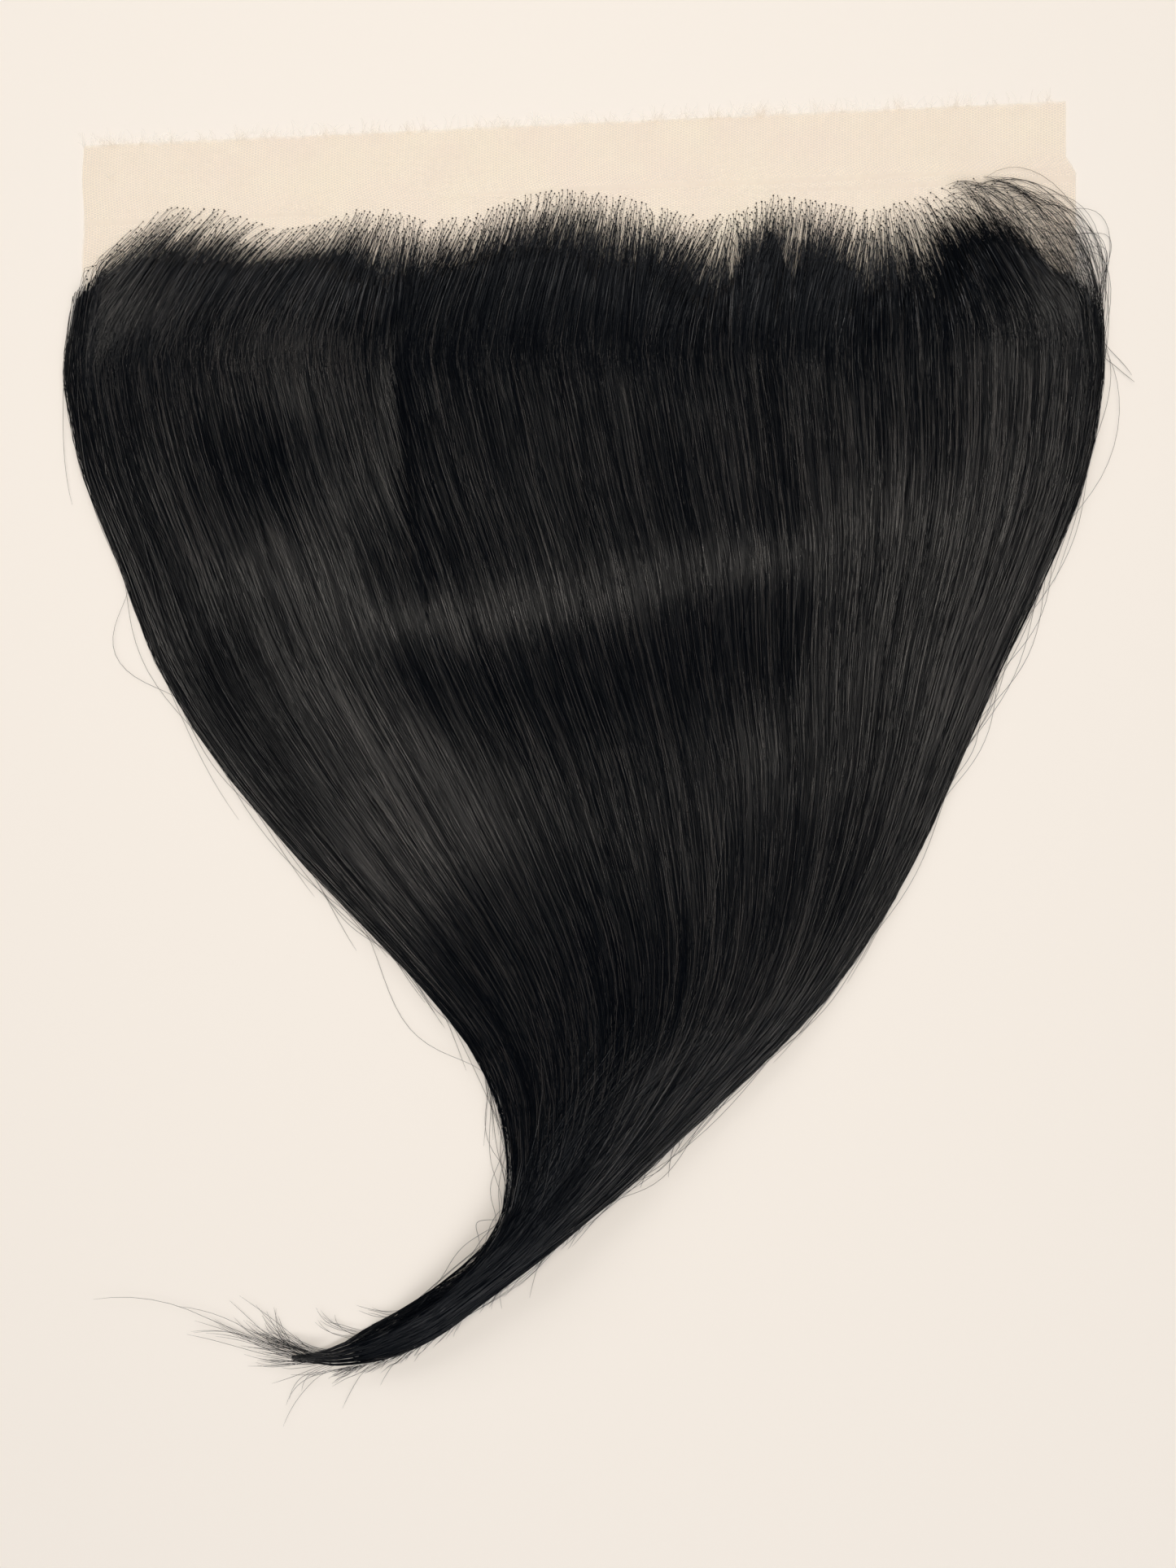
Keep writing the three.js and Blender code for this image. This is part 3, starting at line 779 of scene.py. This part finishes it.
def combed_hairs(root, middle, span, first, last, wander, lift):
    """Paths of hairs of a given span around a middle row, diving under at both ends."""
    t = np.linspace(-0.5, 0.5, HAIR_STEPS + 1)
    place = np.interp(middle, fine_rows, fine_lengths)[:, None] + span[:, None] * t
    place = np.maximum(place, np.interp(first, fine_rows, fine_lengths)[:, None])
    row = np.minimum(np.interp(place, fine_lengths, fine_rows), last)
    phase = rng.random(len(root))[:, None] * 2 * math.pi
    sway = wander[:, None] * np.sin(phase + place / WANDER_LENGTH) / width_at(row)
    across = np.clip(combed(root[:, None], row) + sway, 0.001, 0.999)
    x, y = lie(across, row)
    dive = 1 - (1 - (2 * np.abs(t)) ** 3)[None, :]
    z = hair_top(x, y) + lift[:, None] - BODY_BELOW * 1.6 * dive
    return np.stack([x, y, np.maximum(z, 0.12 * MM)], axis=-1)


middle_row = pick_rows(HAIRS_TOTAL, 0.7, NECK + 0.2)
settled = rng.random(HAIRS_TOTAL)
root = uncombed(settled, middle_row)
span = between(HAIR_SPAN, rng.random(HAIRS_TOTAL))
wander = WANDER * rng.exponential(1, HAIRS_TOTAL)
lift = rng.normal(*HAIR_LIFT, HAIRS_TOTAL) * MM
paths = combed_hairs(root, middle_row, span, opaque_row(root), NECK + 1.0, wander, lift)
thickness = between(HAIR_THICKNESS, rng.random(HAIRS_TOTAL))
locklet_tone = np.interp(root * LOCKLETS, np.arange(LOCKLETS), rng.random(LOCKLETS))
clump_tone = np.interp(root * CLUMPS, np.arange(CLUMPS), rng.random(CLUMPS))
own_tone = rng.random(HAIRS_TOTAL) ** 2.4
tones = TONE_SHARES[0] * locklet_tone + TONE_SHARES[1] * clump_tone + TONE_SHARES[2] * own_tone
tones = tones[:, None] * (0.3 + 1.4 * rng.random((HAIRS_TOTAL, HAIR_STEPS + 1)))
# Painted sheen and painted shade: the combed hairs' tone is raised or lowered in soft spots.
for across, drop, wide, long, change in PAINTED_SHEEN_AND_SHADE:
    tones *= 1 + change * spot(paths[..., 0], paths[..., 1], across, drop, wide, long)
for lock, (start, end) in LOCKS.items():
    first = opaque_row(np.linspace(start, end, BODY_COLUMNS))
    body = packed_body(
        lock + "_body", start, end, first, NECK + 0.3, BODY_COLUMNS, BODY_SECTIONS, BODY_FRINGE
    )
    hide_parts(lock)
    mine = (settled >= start) & (settled < end)
    make_hairs(lock + "_hairs", paths[mine], thickness[mine], tones[mine] ** 1.4)

# The hairline
# The first rows of knots show. Each is a hair tied round a thread of the net, a small dark dot
# about every second hole, and further back two or three hairs share a knot. They rise and bend
# back over the rest, so the net shows between them for the first half inch.
KNOT_SPACING = 1.75 * MM
KNOT_ROW_SPACING = 1.15 * MM
KNOT_ROWS = 44
KNOT_SIZE = 0.62 * MM
KNOT_JITTER = 0.2 * MM
KNOT_TONE = 0.45
TYPICAL_OPAQUE = 18 * MM
MIXED_DEPTH = 8 * MM  # behind this, fewer knots are tied where the hair stays see-through
FRONT_SPAN = (38 * MM, 66 * MM)
FRONT_STEPS = 8
FRONT_THICKNESS = (0.13 * MM, 0.18 * MM)
# How many of the first knots are tied: place across the net, and share.
FIRST_KNOTS = np.array([
    [-0.5, 0.6], [-0.45, 0.7], [-0.4, 0.8], [-0.35, 0.85], [-0.3, 1], [0.32, 1], [0.37, 0.55],
    [0.41, 0.35], [0.45, 0.3], [0.5, 0.4],
])
FIRST_KNOTS_DEPTH = (7 * MM, 13 * MM)  # between these the share rises to all
KNOTS_SHOWN = 12 * MM
KNOTS_OVERLAP = 4 * MM  # how far into the opaque hair there are still single knots
NET_BORDER = 0.5 * MM  # no knot is tied closer to the net's side
ARC_REACH = 5 * MM  # how far along a hair its leaving arc is widest
CLUMP_WIDTH = 4.6 * MM
CLUMPING = 0.22
CLUMP_REACH = ((1 * MM, 16 * MM), (60 * MM, 25 * MM))  # it sets in and fades out between these
LEAN_SPREAD = math.radians(2.4)  # how much the hairs cross each other
LEAN_REACH = 25 * MM
ROOT_HOLD = 6 * MM  # within this length a hair comes from its knot into its combed line
MORE_HAIRS = (6 * MM, 11 * MM)  # behind these a knot holds a second hair, and a third
FRONT_RISE = 0.22
FRONT_SINK = 1.6 * MM
FIRST_FINENESS = (0.75, 1)  # the foremost hairs are finer
FRONT_TONES = (0.12, 0.72)
LEFT_CREST_PAINTED_SHEEN = 0.22  # a painted sheen: the hairs of the left crest are this much lighter and glossier


def root_of(x, y):
    """The share across and the row of a hair that starts at a point near the hairline."""
    root = np.clip(x / NET_WIDTH + 0.5, 0, 1)
    row = np.clip((hairline(x) - y) / (38 * MM), 0, FRONT_ROWS)
    for _ in range(SEARCH_STEPS):
        across = combed(root, row)
        px, py = lie(across, row)
        root = np.clip(root + 0.4 * (x - px) / HAIR_WIDTH, 0, 1)
        row = np.clip(row + (py - y) / (40 * MM), 0, FRONT_ROWS)
    return root, row


knot_row, knot_column = np.meshgrid(
    np.arange(KNOT_ROWS), np.arange(int(NET_WIDTH / KNOT_SPACING) + 1), indexing="ij"
)
knot_x = NET_LOW.x + (knot_column + 0.5 * (knot_row % 2)).ravel() * KNOT_SPACING
behind = knot_row.ravel() * KNOT_ROW_SPACING
knot_x = knot_x + rng.normal(0, 1, knot_x.shape) * KNOT_JITTER
behind = np.maximum(behind + rng.normal(0, 1, knot_x.shape) * KNOT_JITTER, 0)
opaque = np.interp(knot_x / NET_WIDTH, OPAQUE[:, 0], OPAQUE[:, 1]) * MM
sparse = np.clip((TYPICAL_OPAQUE / opaque) ** 0.9, 0.5, 1)
tied = np.interp(knot_x / NET_WIDTH, FIRST_KNOTS[:, 0], FIRST_KNOTS[:, 1])
tied += (1 - tied) * fade(behind, *FIRST_KNOTS_DEPTH)
tied *= 0.7 + 0.3 * fade(behind, 0, 3 * MM)
keep = rng.random(knot_x.shape) < np.where(behind < MIXED_DEPTH, 0.96, sparse) * tied
keep &= behind < opaque + KNOTS_OVERLAP
keep &= np.abs(knot_x) < NET_WIDTH / 2 - NET_BORDER
knot_x, behind = knot_x[keep], behind[keep]
each = 1 + sum(behind >= start for start in MORE_HAIRS)
knot_x, behind = np.repeat(knot_x, each), np.repeat(behind, each)
knot_y = hairline(knot_x) - behind
knot_root, knot_at = root_of(knot_x, knot_y)

hairs = len(knot_x)
span = between(FRONT_SPAN, rng.random(hairs))
t = np.linspace(0, 1, FRONT_STEPS + 1) ** 1.6
gone = span[:, None] * t
row = np.interp(np.interp(knot_at, fine_rows, fine_lengths)[:, None] + gone, fine_lengths, fine_rows)
across = np.clip(combed(knot_root[:, None], row), 0.0005, 0.9995)
x, y = lie(across, row)
x += (knot_x - x[:, 0])[:, None] * np.exp(-gone / ROOT_HOLD)
y += (knot_y - y[:, 0])[:, None] * np.exp(-gone / ROOT_HOLD)
arc = gone / ARC_REACH * np.exp(1 - gone / ARC_REACH)
size = (0.55 + 0.5 * rng.exponential(1, hairs))[:, None]
x += arc * size * np.interp(knot_root, COMBING[:, 0], COMBING[:, 2])[:, None] * MM
y += arc * size * np.interp(knot_root, COMBING[:, 0], COMBING[:, 3])[:, None] * MM
x += arc * rng.normal(0, 0.5, hairs)[:, None] * MM
x += np.minimum(gone, LEAN_REACH) * np.tan(rng.normal(0, LEAN_SPREAD, hairs))[:, None]
gather = fade(gone, *CLUMP_REACH[0]) * fade(gone, *CLUMP_REACH[1])
gather = gather * CLUMPING * CLUMP_WIDTH / (2 * math.pi)
phase = 2 * math.pi * (knot_root[:, None] * HAIR_WIDTH / CLUMP_WIDTH)
x -= gather * np.sin(phase + 2.2 * np.sin(knot_root[:, None] * 41))
top = hair_top(x, y)
z = np.minimum(top - rng.random(hairs)[:, None] * 0.6 * MM, NET_LIFT + 0.3 * MM + FRONT_RISE * gone)
z = np.where(top > 0, z, np.minimum(z + 0.5 * MM, 1.5 * MM) + 0.3 * MM)
z = z - FRONT_SINK * fade(t, 0.72, 1)[None, :]
front_paths = np.stack([x, y, np.maximum(z, 0.25 * MM)], axis=-1)
thickness = between(FRONT_THICKNESS, rng.random(hairs))
thickness *= between(FIRST_FINENESS, fade(behind, 2 * MM, 9 * MM))
tones = between(FRONT_TONES, rng.random(hairs) ** 2)
# Painted sheen: the hairs of the left crest get a lighter, glossier tone.
tones += LEFT_CREST_PAINTED_SHEEN * fade(-knot_x, 55 * MM, 95 * MM) * fade(NET_WIDTH / 2 + knot_x, 0, 25 * MM)
for side, mine in (("left", knot_x < 0), ("right", knot_x >= 0)):
    make_hairs(f"front_hairs_{side}", front_paths[mine], thickness[mine], tones[mine], taper=0.75)

octahedron = np.array([[1, 0, 0], [0, 1, 0], [-1, 0, 0], [0, -1, 0], [0, 0, 1], [0, 0, -1]])
octahedron_faces = np.array([
    [0, 1, 4], [1, 2, 4], [2, 3, 4], [3, 0, 4], [1, 0, 5], [2, 1, 5], [3, 2, 5], [0, 3, 5]
])
seen = behind < KNOTS_SHOWN
centres = np.stack([knot_x, knot_y, net_height(knot_x, knot_y) + 0.12 * MM], axis=-1)[seen]
sizes = KNOT_SIZE / 2 * (0.75 + 0.5 * rng.random(len(centres)))
knot_points = centres[:, None, :] + octahedron[None] * sizes[:, None, None] * [1, 1, 0.7]
knot_faces = (np.arange(len(centres))[:, None, None] * 6 + octahedron_faces[None]).reshape(-1, 3)
knots = make_piece("knots", knot_points, [knot_faces], hair_material)
add_tone(knots, np.full(len(centres) * 6, KNOT_TONE))

# The tail
# The locks run together into one bundle that curves to the left. Hairs of unequal length make
# it taper. Its outer edge is fringed with short ends, and it runs out in loose wisps.
TAIL_BODY_END = 16.5  # the row where it is no longer packed
TAIL_SECTIONS = 44
TAIL_NARROWING = 0.4
TAIL_STRANDS = 6  # that part near the tip
TAIL_HAIRS = 1500
TAIL_HAIR_STEPS = 11
TAIL_HAIR_ROWS = (NECK - 1.2, NECK + 4.4)  # between these they start
TAIL_END = 18.7
TIP_SHIFT = 0.16  # the tip lies this share of the breadth to the outer side
TAIL_TONE = 0.62  # times the tone of the locks' hairs
TAIL_WANDER = 0.12
STRAND_PULL = 0.75
SWEEPING_HAIRS = 130  # from the right side, combed across the neck of the tail
FRINGE_ENDS = 150

tail_columns = np.linspace(0, 1, BODY_COLUMNS // 2)
tail_start = np.full(len(tail_columns), float(NECK))
tail_body = packed_body(
    "tail_body", 0, 1, tail_start, TAIL_BODY_END, len(tail_columns), TAIL_SECTIONS, narrowing=TAIL_NARROWING
)
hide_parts("tail")

root = 0.5 + 0.5 * np.clip(rng.normal(0, 0.5, TAIL_HAIRS), -0.98, 0.98)
begin = between(TAIL_HAIR_ROWS, rng.random(TAIL_HAIRS))
finish = begin + 3 + rng.random(TAIL_HAIRS) * 4
finish = np.minimum(finish, TAIL_END - 2.6 * rng.random(TAIL_HAIRS) ** 2)
t = np.linspace(0, 1, TAIL_HAIR_STEPS + 1)
row = begin[:, None] + (finish - begin)[:, None] * t
drift = rng.normal(0, TAIL_WANDER, TAIL_HAIRS)[:, None]
drift = drift * np.sin(math.pi * t + rng.random(TAIL_HAIRS)[:, None] * 3)
drift = drift * (1 - 0.75 * fade(row, 15, 16.8))
strand = (np.floor(root * TAIL_STRANDS) + 0.5) / TAIL_STRANDS
drift = drift + (strand - root)[:, None] * STRAND_PULL * fade(row, 15.4, 16.8)
narrowed = (root[:, None] - 0.5 + drift) * (1 - 0.6 * fade(row, 16.4, 18.6))
across = np.clip(0.5 + TIP_SHIFT * fade(row, 15.5, 18) + narrowed, 0.005, 0.995)
sweep_start = 7.6 + 1.6 * rng.random(SWEEPING_HAIRS)
sweep_rows = 3.6 + rng.random(SWEEPING_HAIRS)
sweep_row = sweep_start[:, None] + sweep_rows[:, None] * t
sweep_across = 0.66 + rng.normal(0, TAIL_WANDER, SWEEPING_HAIRS)[:, None]
sweep_across = sweep_across - 0.42 * fade(sweep_row, 8.6, 12.3)
row = np.concatenate([row, sweep_row])
across = np.concatenate([across, np.clip(sweep_across, 0.02, 0.98)])
x, y = lie(across, row)
deep = rng.random(len(row))[:, None] * 0.5 * MM
dive = BODY_BELOW * (np.exp(-t * 9) + np.exp((t - 1) * 9))[None, :]
z = hair_top(x, y) * thinned(row) - deep - dive * (row < 14)
tail_paths = np.stack([x, y, np.maximum(z, 0.15 * MM)], axis=-1)
thickness = between(HAIR_THICKNESS, rng.random(len(row)))
tones = TAIL_TONE * (rng.random(len(row)) ** 1.8)[:, None]
tones = tones * (0.4 + 1.2 * rng.random((len(row), len(t))))
make_hairs("tail_hairs", tail_paths, thickness, tones, taper=0.35)

# The ends of the tail's hairs, and at last the long strays by the net: row and share across where
# they leave, heading in degrees and its spread, how far they turn on the way and then at the very
# end, shortest and longest length in mm, number.
WISPS = np.array([
    # the fan at the tip
    [18.4, 0.5, 163, 3, -14, 46, 70, 78, 1],
    [18.4, 0.5, 167, 4, -22, 50, 48, 54, 1],
    [18.2, 0.5, 172, 8, -24, 12, 26, 46, 12],
    [18.0, 0.5, 174, 12, -22, 4, 14, 34, 22],
    [17.5, 0.45, 178, 12, -24, 0, 12, 28, 20],
    [18.7, 0.3, 150, 14, -30, -12, 10, 19, 7],
    [17.9, 0.6, 186, 10, -12, 0, 14, 27, 14],
    [17.5, 0.9, 206, 9, 22, 10, 12, 27, 6],
    # ends that stand off its inner side
    [16.6, 0.08, 172, 7, -34, -10, 9, 17, 8],
    [15.6, 0.04, 186, 7, -30, -14, 9, 19, 5],
    # long strays at the right crest
    [0.5, 0.985, -6, 3, -8, 4, 23, 25, 1],
    [0.8, 1.0, -24, 4, -14, -6, 18, 20, 1],
    [1.35, 1.0, -14, 5, 12, 10, 13, 15, 1],
    [1.8, 1.0, -46, 6, 10, 0, 13, 17, 2],
])
WISP_STEPS = 12
WISP_THICKNESS = 0.11 * MM
CREST_THICKNESS = 0.16 * MM  # of the strays at the right crest
FRINGE_ROWS = (9.5, 16.9)
FRINGE_ACROSS = 0.93
FRINGE_LENGTH = (5, 20)  # shortest and longest, in mm


def wander_off(start, heading, bend, flick, length, steps):
    """Free ends that leave start on a heading, turn by bend on the way and by flick at the end."""
    paths = np.empty((len(start), steps + 1, 2))
    paths[:, 0] = start
    for step in range(steps):
        t = (step + 0.5) / steps
        angle = heading + bend * t + flick * max(t - 0.55, 0) / 0.45
        paths[:, step + 1, 0] = paths[:, step, 0] + length / steps * np.cos(angle)
        paths[:, step + 1, 1] = paths[:, step, 1] + length / steps * np.sin(angle)
    return paths


def laid(paths):
    """Those ends with a height: down the side of the hair, and then over the table."""
    top = hair_top(paths[..., 0], paths[..., 1])
    t = np.linspace(0, 1, paths.shape[1])
    loose = (0.5 + 0.9 * np.abs(np.sin(2.4 * t + paths[:, :1, 0] * 900))) * MM
    z = np.where(top > 0, np.minimum(top * 0.9, 7 * MM), loose)
    for _ in range(2):
        z[:, 1:-1] = (z[:, :-2] + 2 * z[:, 1:-1] + z[:, 2:]) / 4
    return np.concatenate([paths, np.maximum(z, 0.2 * MM)[..., None]], axis=-1)


bundle = np.repeat(WISPS, WISPS[:, -1].astype(int), axis=0)
count = len(bundle)
leave_across = np.clip(bundle[:, 1] + rng.normal(0, TAIL_WANDER, count), 0.02, 0.995)
starts = np.stack(lie(leave_across, bundle[:, 0] - 0.5 * rng.random(count)), axis=-1)
heading = np.radians(bundle[:, 2] + bundle[:, 3] * rng.normal(0, 0.7, count))
bend = np.radians(bundle[:, 4] * (0.6 + 0.8 * rng.random(count)) + rng.normal(0, 6, count))
flick = np.radians(bundle[:, 5] + rng.normal(0, 16, count))
length = between((bundle[:, 6], bundle[:, 7]), rng.random(count)) * MM
ends = laid(wander_off(starts, heading, bend, flick, length, WISP_STEPS))

# The fringe along the outer side of the tail and the neck
leave = between(FRINGE_ROWS, rng.random(FRINGE_ENDS) ** 0.6)
side = np.full(FRINGE_ENDS, FRINGE_ACROSS)
starts = np.stack(lie(side, leave), axis=-1)
ahead = np.stack(lie(side, leave + 0.3), axis=-1) - starts
heading = np.arctan2(ahead[:, 1], ahead[:, 0])
heading += np.radians(9 + 9 * rng.exponential(1, FRINGE_ENDS))
length = np.minimum(FRINGE_LENGTH[0] * (1 + rng.exponential(1, FRINGE_ENDS)), FRINGE_LENGTH[1]) * MM
bend = rng.normal(-0.1, 0.35, FRINGE_ENDS)
fringe = wander_off(starts, heading, bend, 0, length, WISP_STEPS)
loose_paths = np.concatenate([ends, laid(fringe)])
thickness = np.where(loose_paths[:, 0, 1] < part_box("tail")[1].y, WISP_THICKNESS, CREST_THICKNESS)
tones = 0.3 + 0.7 * rng.random(len(loose_paths))
make_hairs("tail_wisps", loose_paths, thickness, tones, taper=0.35, closed=True)

# Stray hairs
# A few hairs have sprung out of the comb's line. Along both sides they bow away from the edge
# and return to it, or end free on the table. At the right crest, long ones loop out over the
# net and past it.
STRAY_STEPS = 16
BOWS = 76
FREE_ENDS = 40
STRAY_THICKNESS = 0.12 * MM
LONGEST_BOW = 13 * MM
CREST_LOOPS = 115
LOOP_THICKNESS = 0.13 * MM


def stray(side, begin, finish, out, free):
    """Paths that leave the edge on one side and bow out by out, or end there if free."""
    t = np.linspace(0, 1, STRAY_STEPS + 1)
    row = begin[:, None] + (finish - begin)[:, None] * t
    edge = np.where(side > 0, 0.992, 0.008)[:, None] * np.ones_like(t)
    x, y = lie(edge, row)
    ahead_x, ahead_y = np.gradient(x, axis=1), np.gradient(y, axis=1)
    length = np.hypot(ahead_x, ahead_y) + 1e-9
    bow = np.where(free[:, None], fade(t, 0.15, 1.15)[None, :] * 1.1, np.sin(math.pi * t)[None, :] ** 1.4)
    reach = out[:, None] * bow * side[:, None]
    return laid(np.stack([x - reach * ahead_y / length, y + reach * ahead_x / length], axis=-1))


strays = BOWS + FREE_ENDS
side = np.where(rng.random(strays) < 0.55, 1.0, -1.0)
free = np.arange(strays) >= BOWS
begin = np.where(side > 0, 0.4 + rng.random(strays) ** 1.3 * 12, 1 + rng.random(strays) * 12)
finish = np.minimum(begin + 0.9 + 1.6 * rng.random(strays), TIP - 2)
out = np.minimum((0.8 + 2.6 * rng.exponential(1, strays)) * MM, LONGEST_BOW)
stray_paths = stray(side, begin, finish, out, free)
tones = 0.2 + 0.8 * rng.random(strays)
make_hairs("stray_hairs", stray_paths, np.full(strays, STRAY_THICKNESS), tones, taper=0.4, closed=True)

# The loops at the right crest
wide = rng.random(CREST_LOOPS) ** 1.3
t = np.linspace(0, 1, STRAY_STEPS + 1)[None, :, None]
first_x = NET_WIDTH * (0.365 + 0.12 * rng.random(CREST_LOOPS))
first = np.stack([first_x, hairline(first_x) - rng.random(CREST_LOOPS) * 7 * MM], axis=-1)
last = np.stack(lie(np.full(CREST_LOOPS, 0.985), 1.0 + 2.0 * rng.random(CREST_LOOPS)), axis=-1)
turn = np.radians(46 - 52 * rng.random(CREST_LOOPS))
towards = np.stack([np.cos(turn), np.sin(turn)], axis=-1)
leaving = first + ((12 + 16 * wide) * MM)[:, None] * towards
landing = last + np.stack([(2.5 + 13 * wide) * MM, (21 + 14 * wide) * MM], axis=-1)
loops = (
    first[:, None] * (1 - t) ** 3
    + leaving[:, None] * 3 * t * (1 - t) ** 2
    + landing[:, None] * 3 * t**2 * (1 - t)
    + last[:, None] * t**3
)
tones = 0.2 + 0.5 * rng.random(CREST_LOOPS)
make_hairs("crest_loops", laid(loops), np.full(CREST_LOOPS, LOOP_THICKNESS), tones, taper=0.6, closed=True)

# The table, the light and the view
# The piece lies on a pale cream board and is seen from straight above, with the whole hair in
# view. A wide soft light hangs over the front of it, and two lower ones light the board from the
# front and from behind.
VIEW_HEIGHT = 521.3 * MM  # what the picture takes in, from top to bottom
VIEW_CENTRE = (2.8 * MM, -191.6 * MM)
LENS = 30
FILM = 36
BOARD_COLOUR = (0.887, 0.818, 0.735, 1)
BOARD_HALF = 2
BOARD_DROP = 0.1 * MM
ROOM_COLOUR = (0.72, 0.9, 1.15, 1)
ROOM_STRENGTH = 0.12

board_mesh = bpy.data.meshes.new("board")
board_corners = [(x * BOARD_HALF, y * BOARD_HALF, 0) for x, y in ((-1, -1), (1, -1), (1, 1), (-1, 1))]
board_mesh.from_pydata(board_corners, [], [(0, 1, 2, 3)])
board = bpy.data.objects.new("board", board_mesh)
board.location.z = -BOARD_DROP
bpy.context.scene.collection.objects.link(board)
board_material, tree, shader = new_material("board", BOARD_COLOUR, 0.9)
shader.inputs["Specular IOR Level"].default_value = 0.1
board_mesh.materials.append(board_material)


def soft_light(name, place, towards, size, power, colour):
    light = bpy.data.lights.new(name, "AREA")
    light.shape = "RECTANGLE"
    light.size, light.size_y = size
    light.energy = power
    light.color = colour
    lamp = bpy.data.objects.new(name, light)
    lamp.location = place
    lamp.rotation_euler = (Vector(towards) - Vector(place)).to_track_quat("-Z", "Y").to_euler()
    bpy.context.scene.collection.objects.link(lamp)


soft_light("over_the_front", (-0.05, 0.05, 1.1), (0, -0.12, 0), (0.9, 0.3), 6.5, (1, 0.93, 0.84))
soft_light("from_the_front", (-0.3, 1.5, 1.0), (0, -0.15, 0), (2.2, 0.9), 17.4, (0.98, 0.98, 1))
soft_light("from_behind", (0.3, -1.5, 1.3), (0, -0.2, 0), (2.2, 0.9), 21, (0.98, 0.98, 1))
world = bpy.data.worlds.new("room")
world.use_nodes = True
background = world.node_tree.nodes["Background"]
background.inputs["Color"].default_value = ROOM_COLOUR
background.inputs["Strength"].default_value = ROOM_STRENGTH
bpy.context.scene.world = world
bpy.context.scene.view_settings.view_transform = "Standard"

camera_data = bpy.data.cameras.new("view_from_above")
camera_data.lens = LENS
camera_data.sensor_width = FILM
camera_data.clip_start = 0.01
camera = bpy.data.objects.new("view_from_above", camera_data)
camera.location = (*VIEW_CENTRE, VIEW_HEIGHT * LENS / FILM)
bpy.context.scene.collection.objects.link(camera)
bpy.context.scene.camera = camera
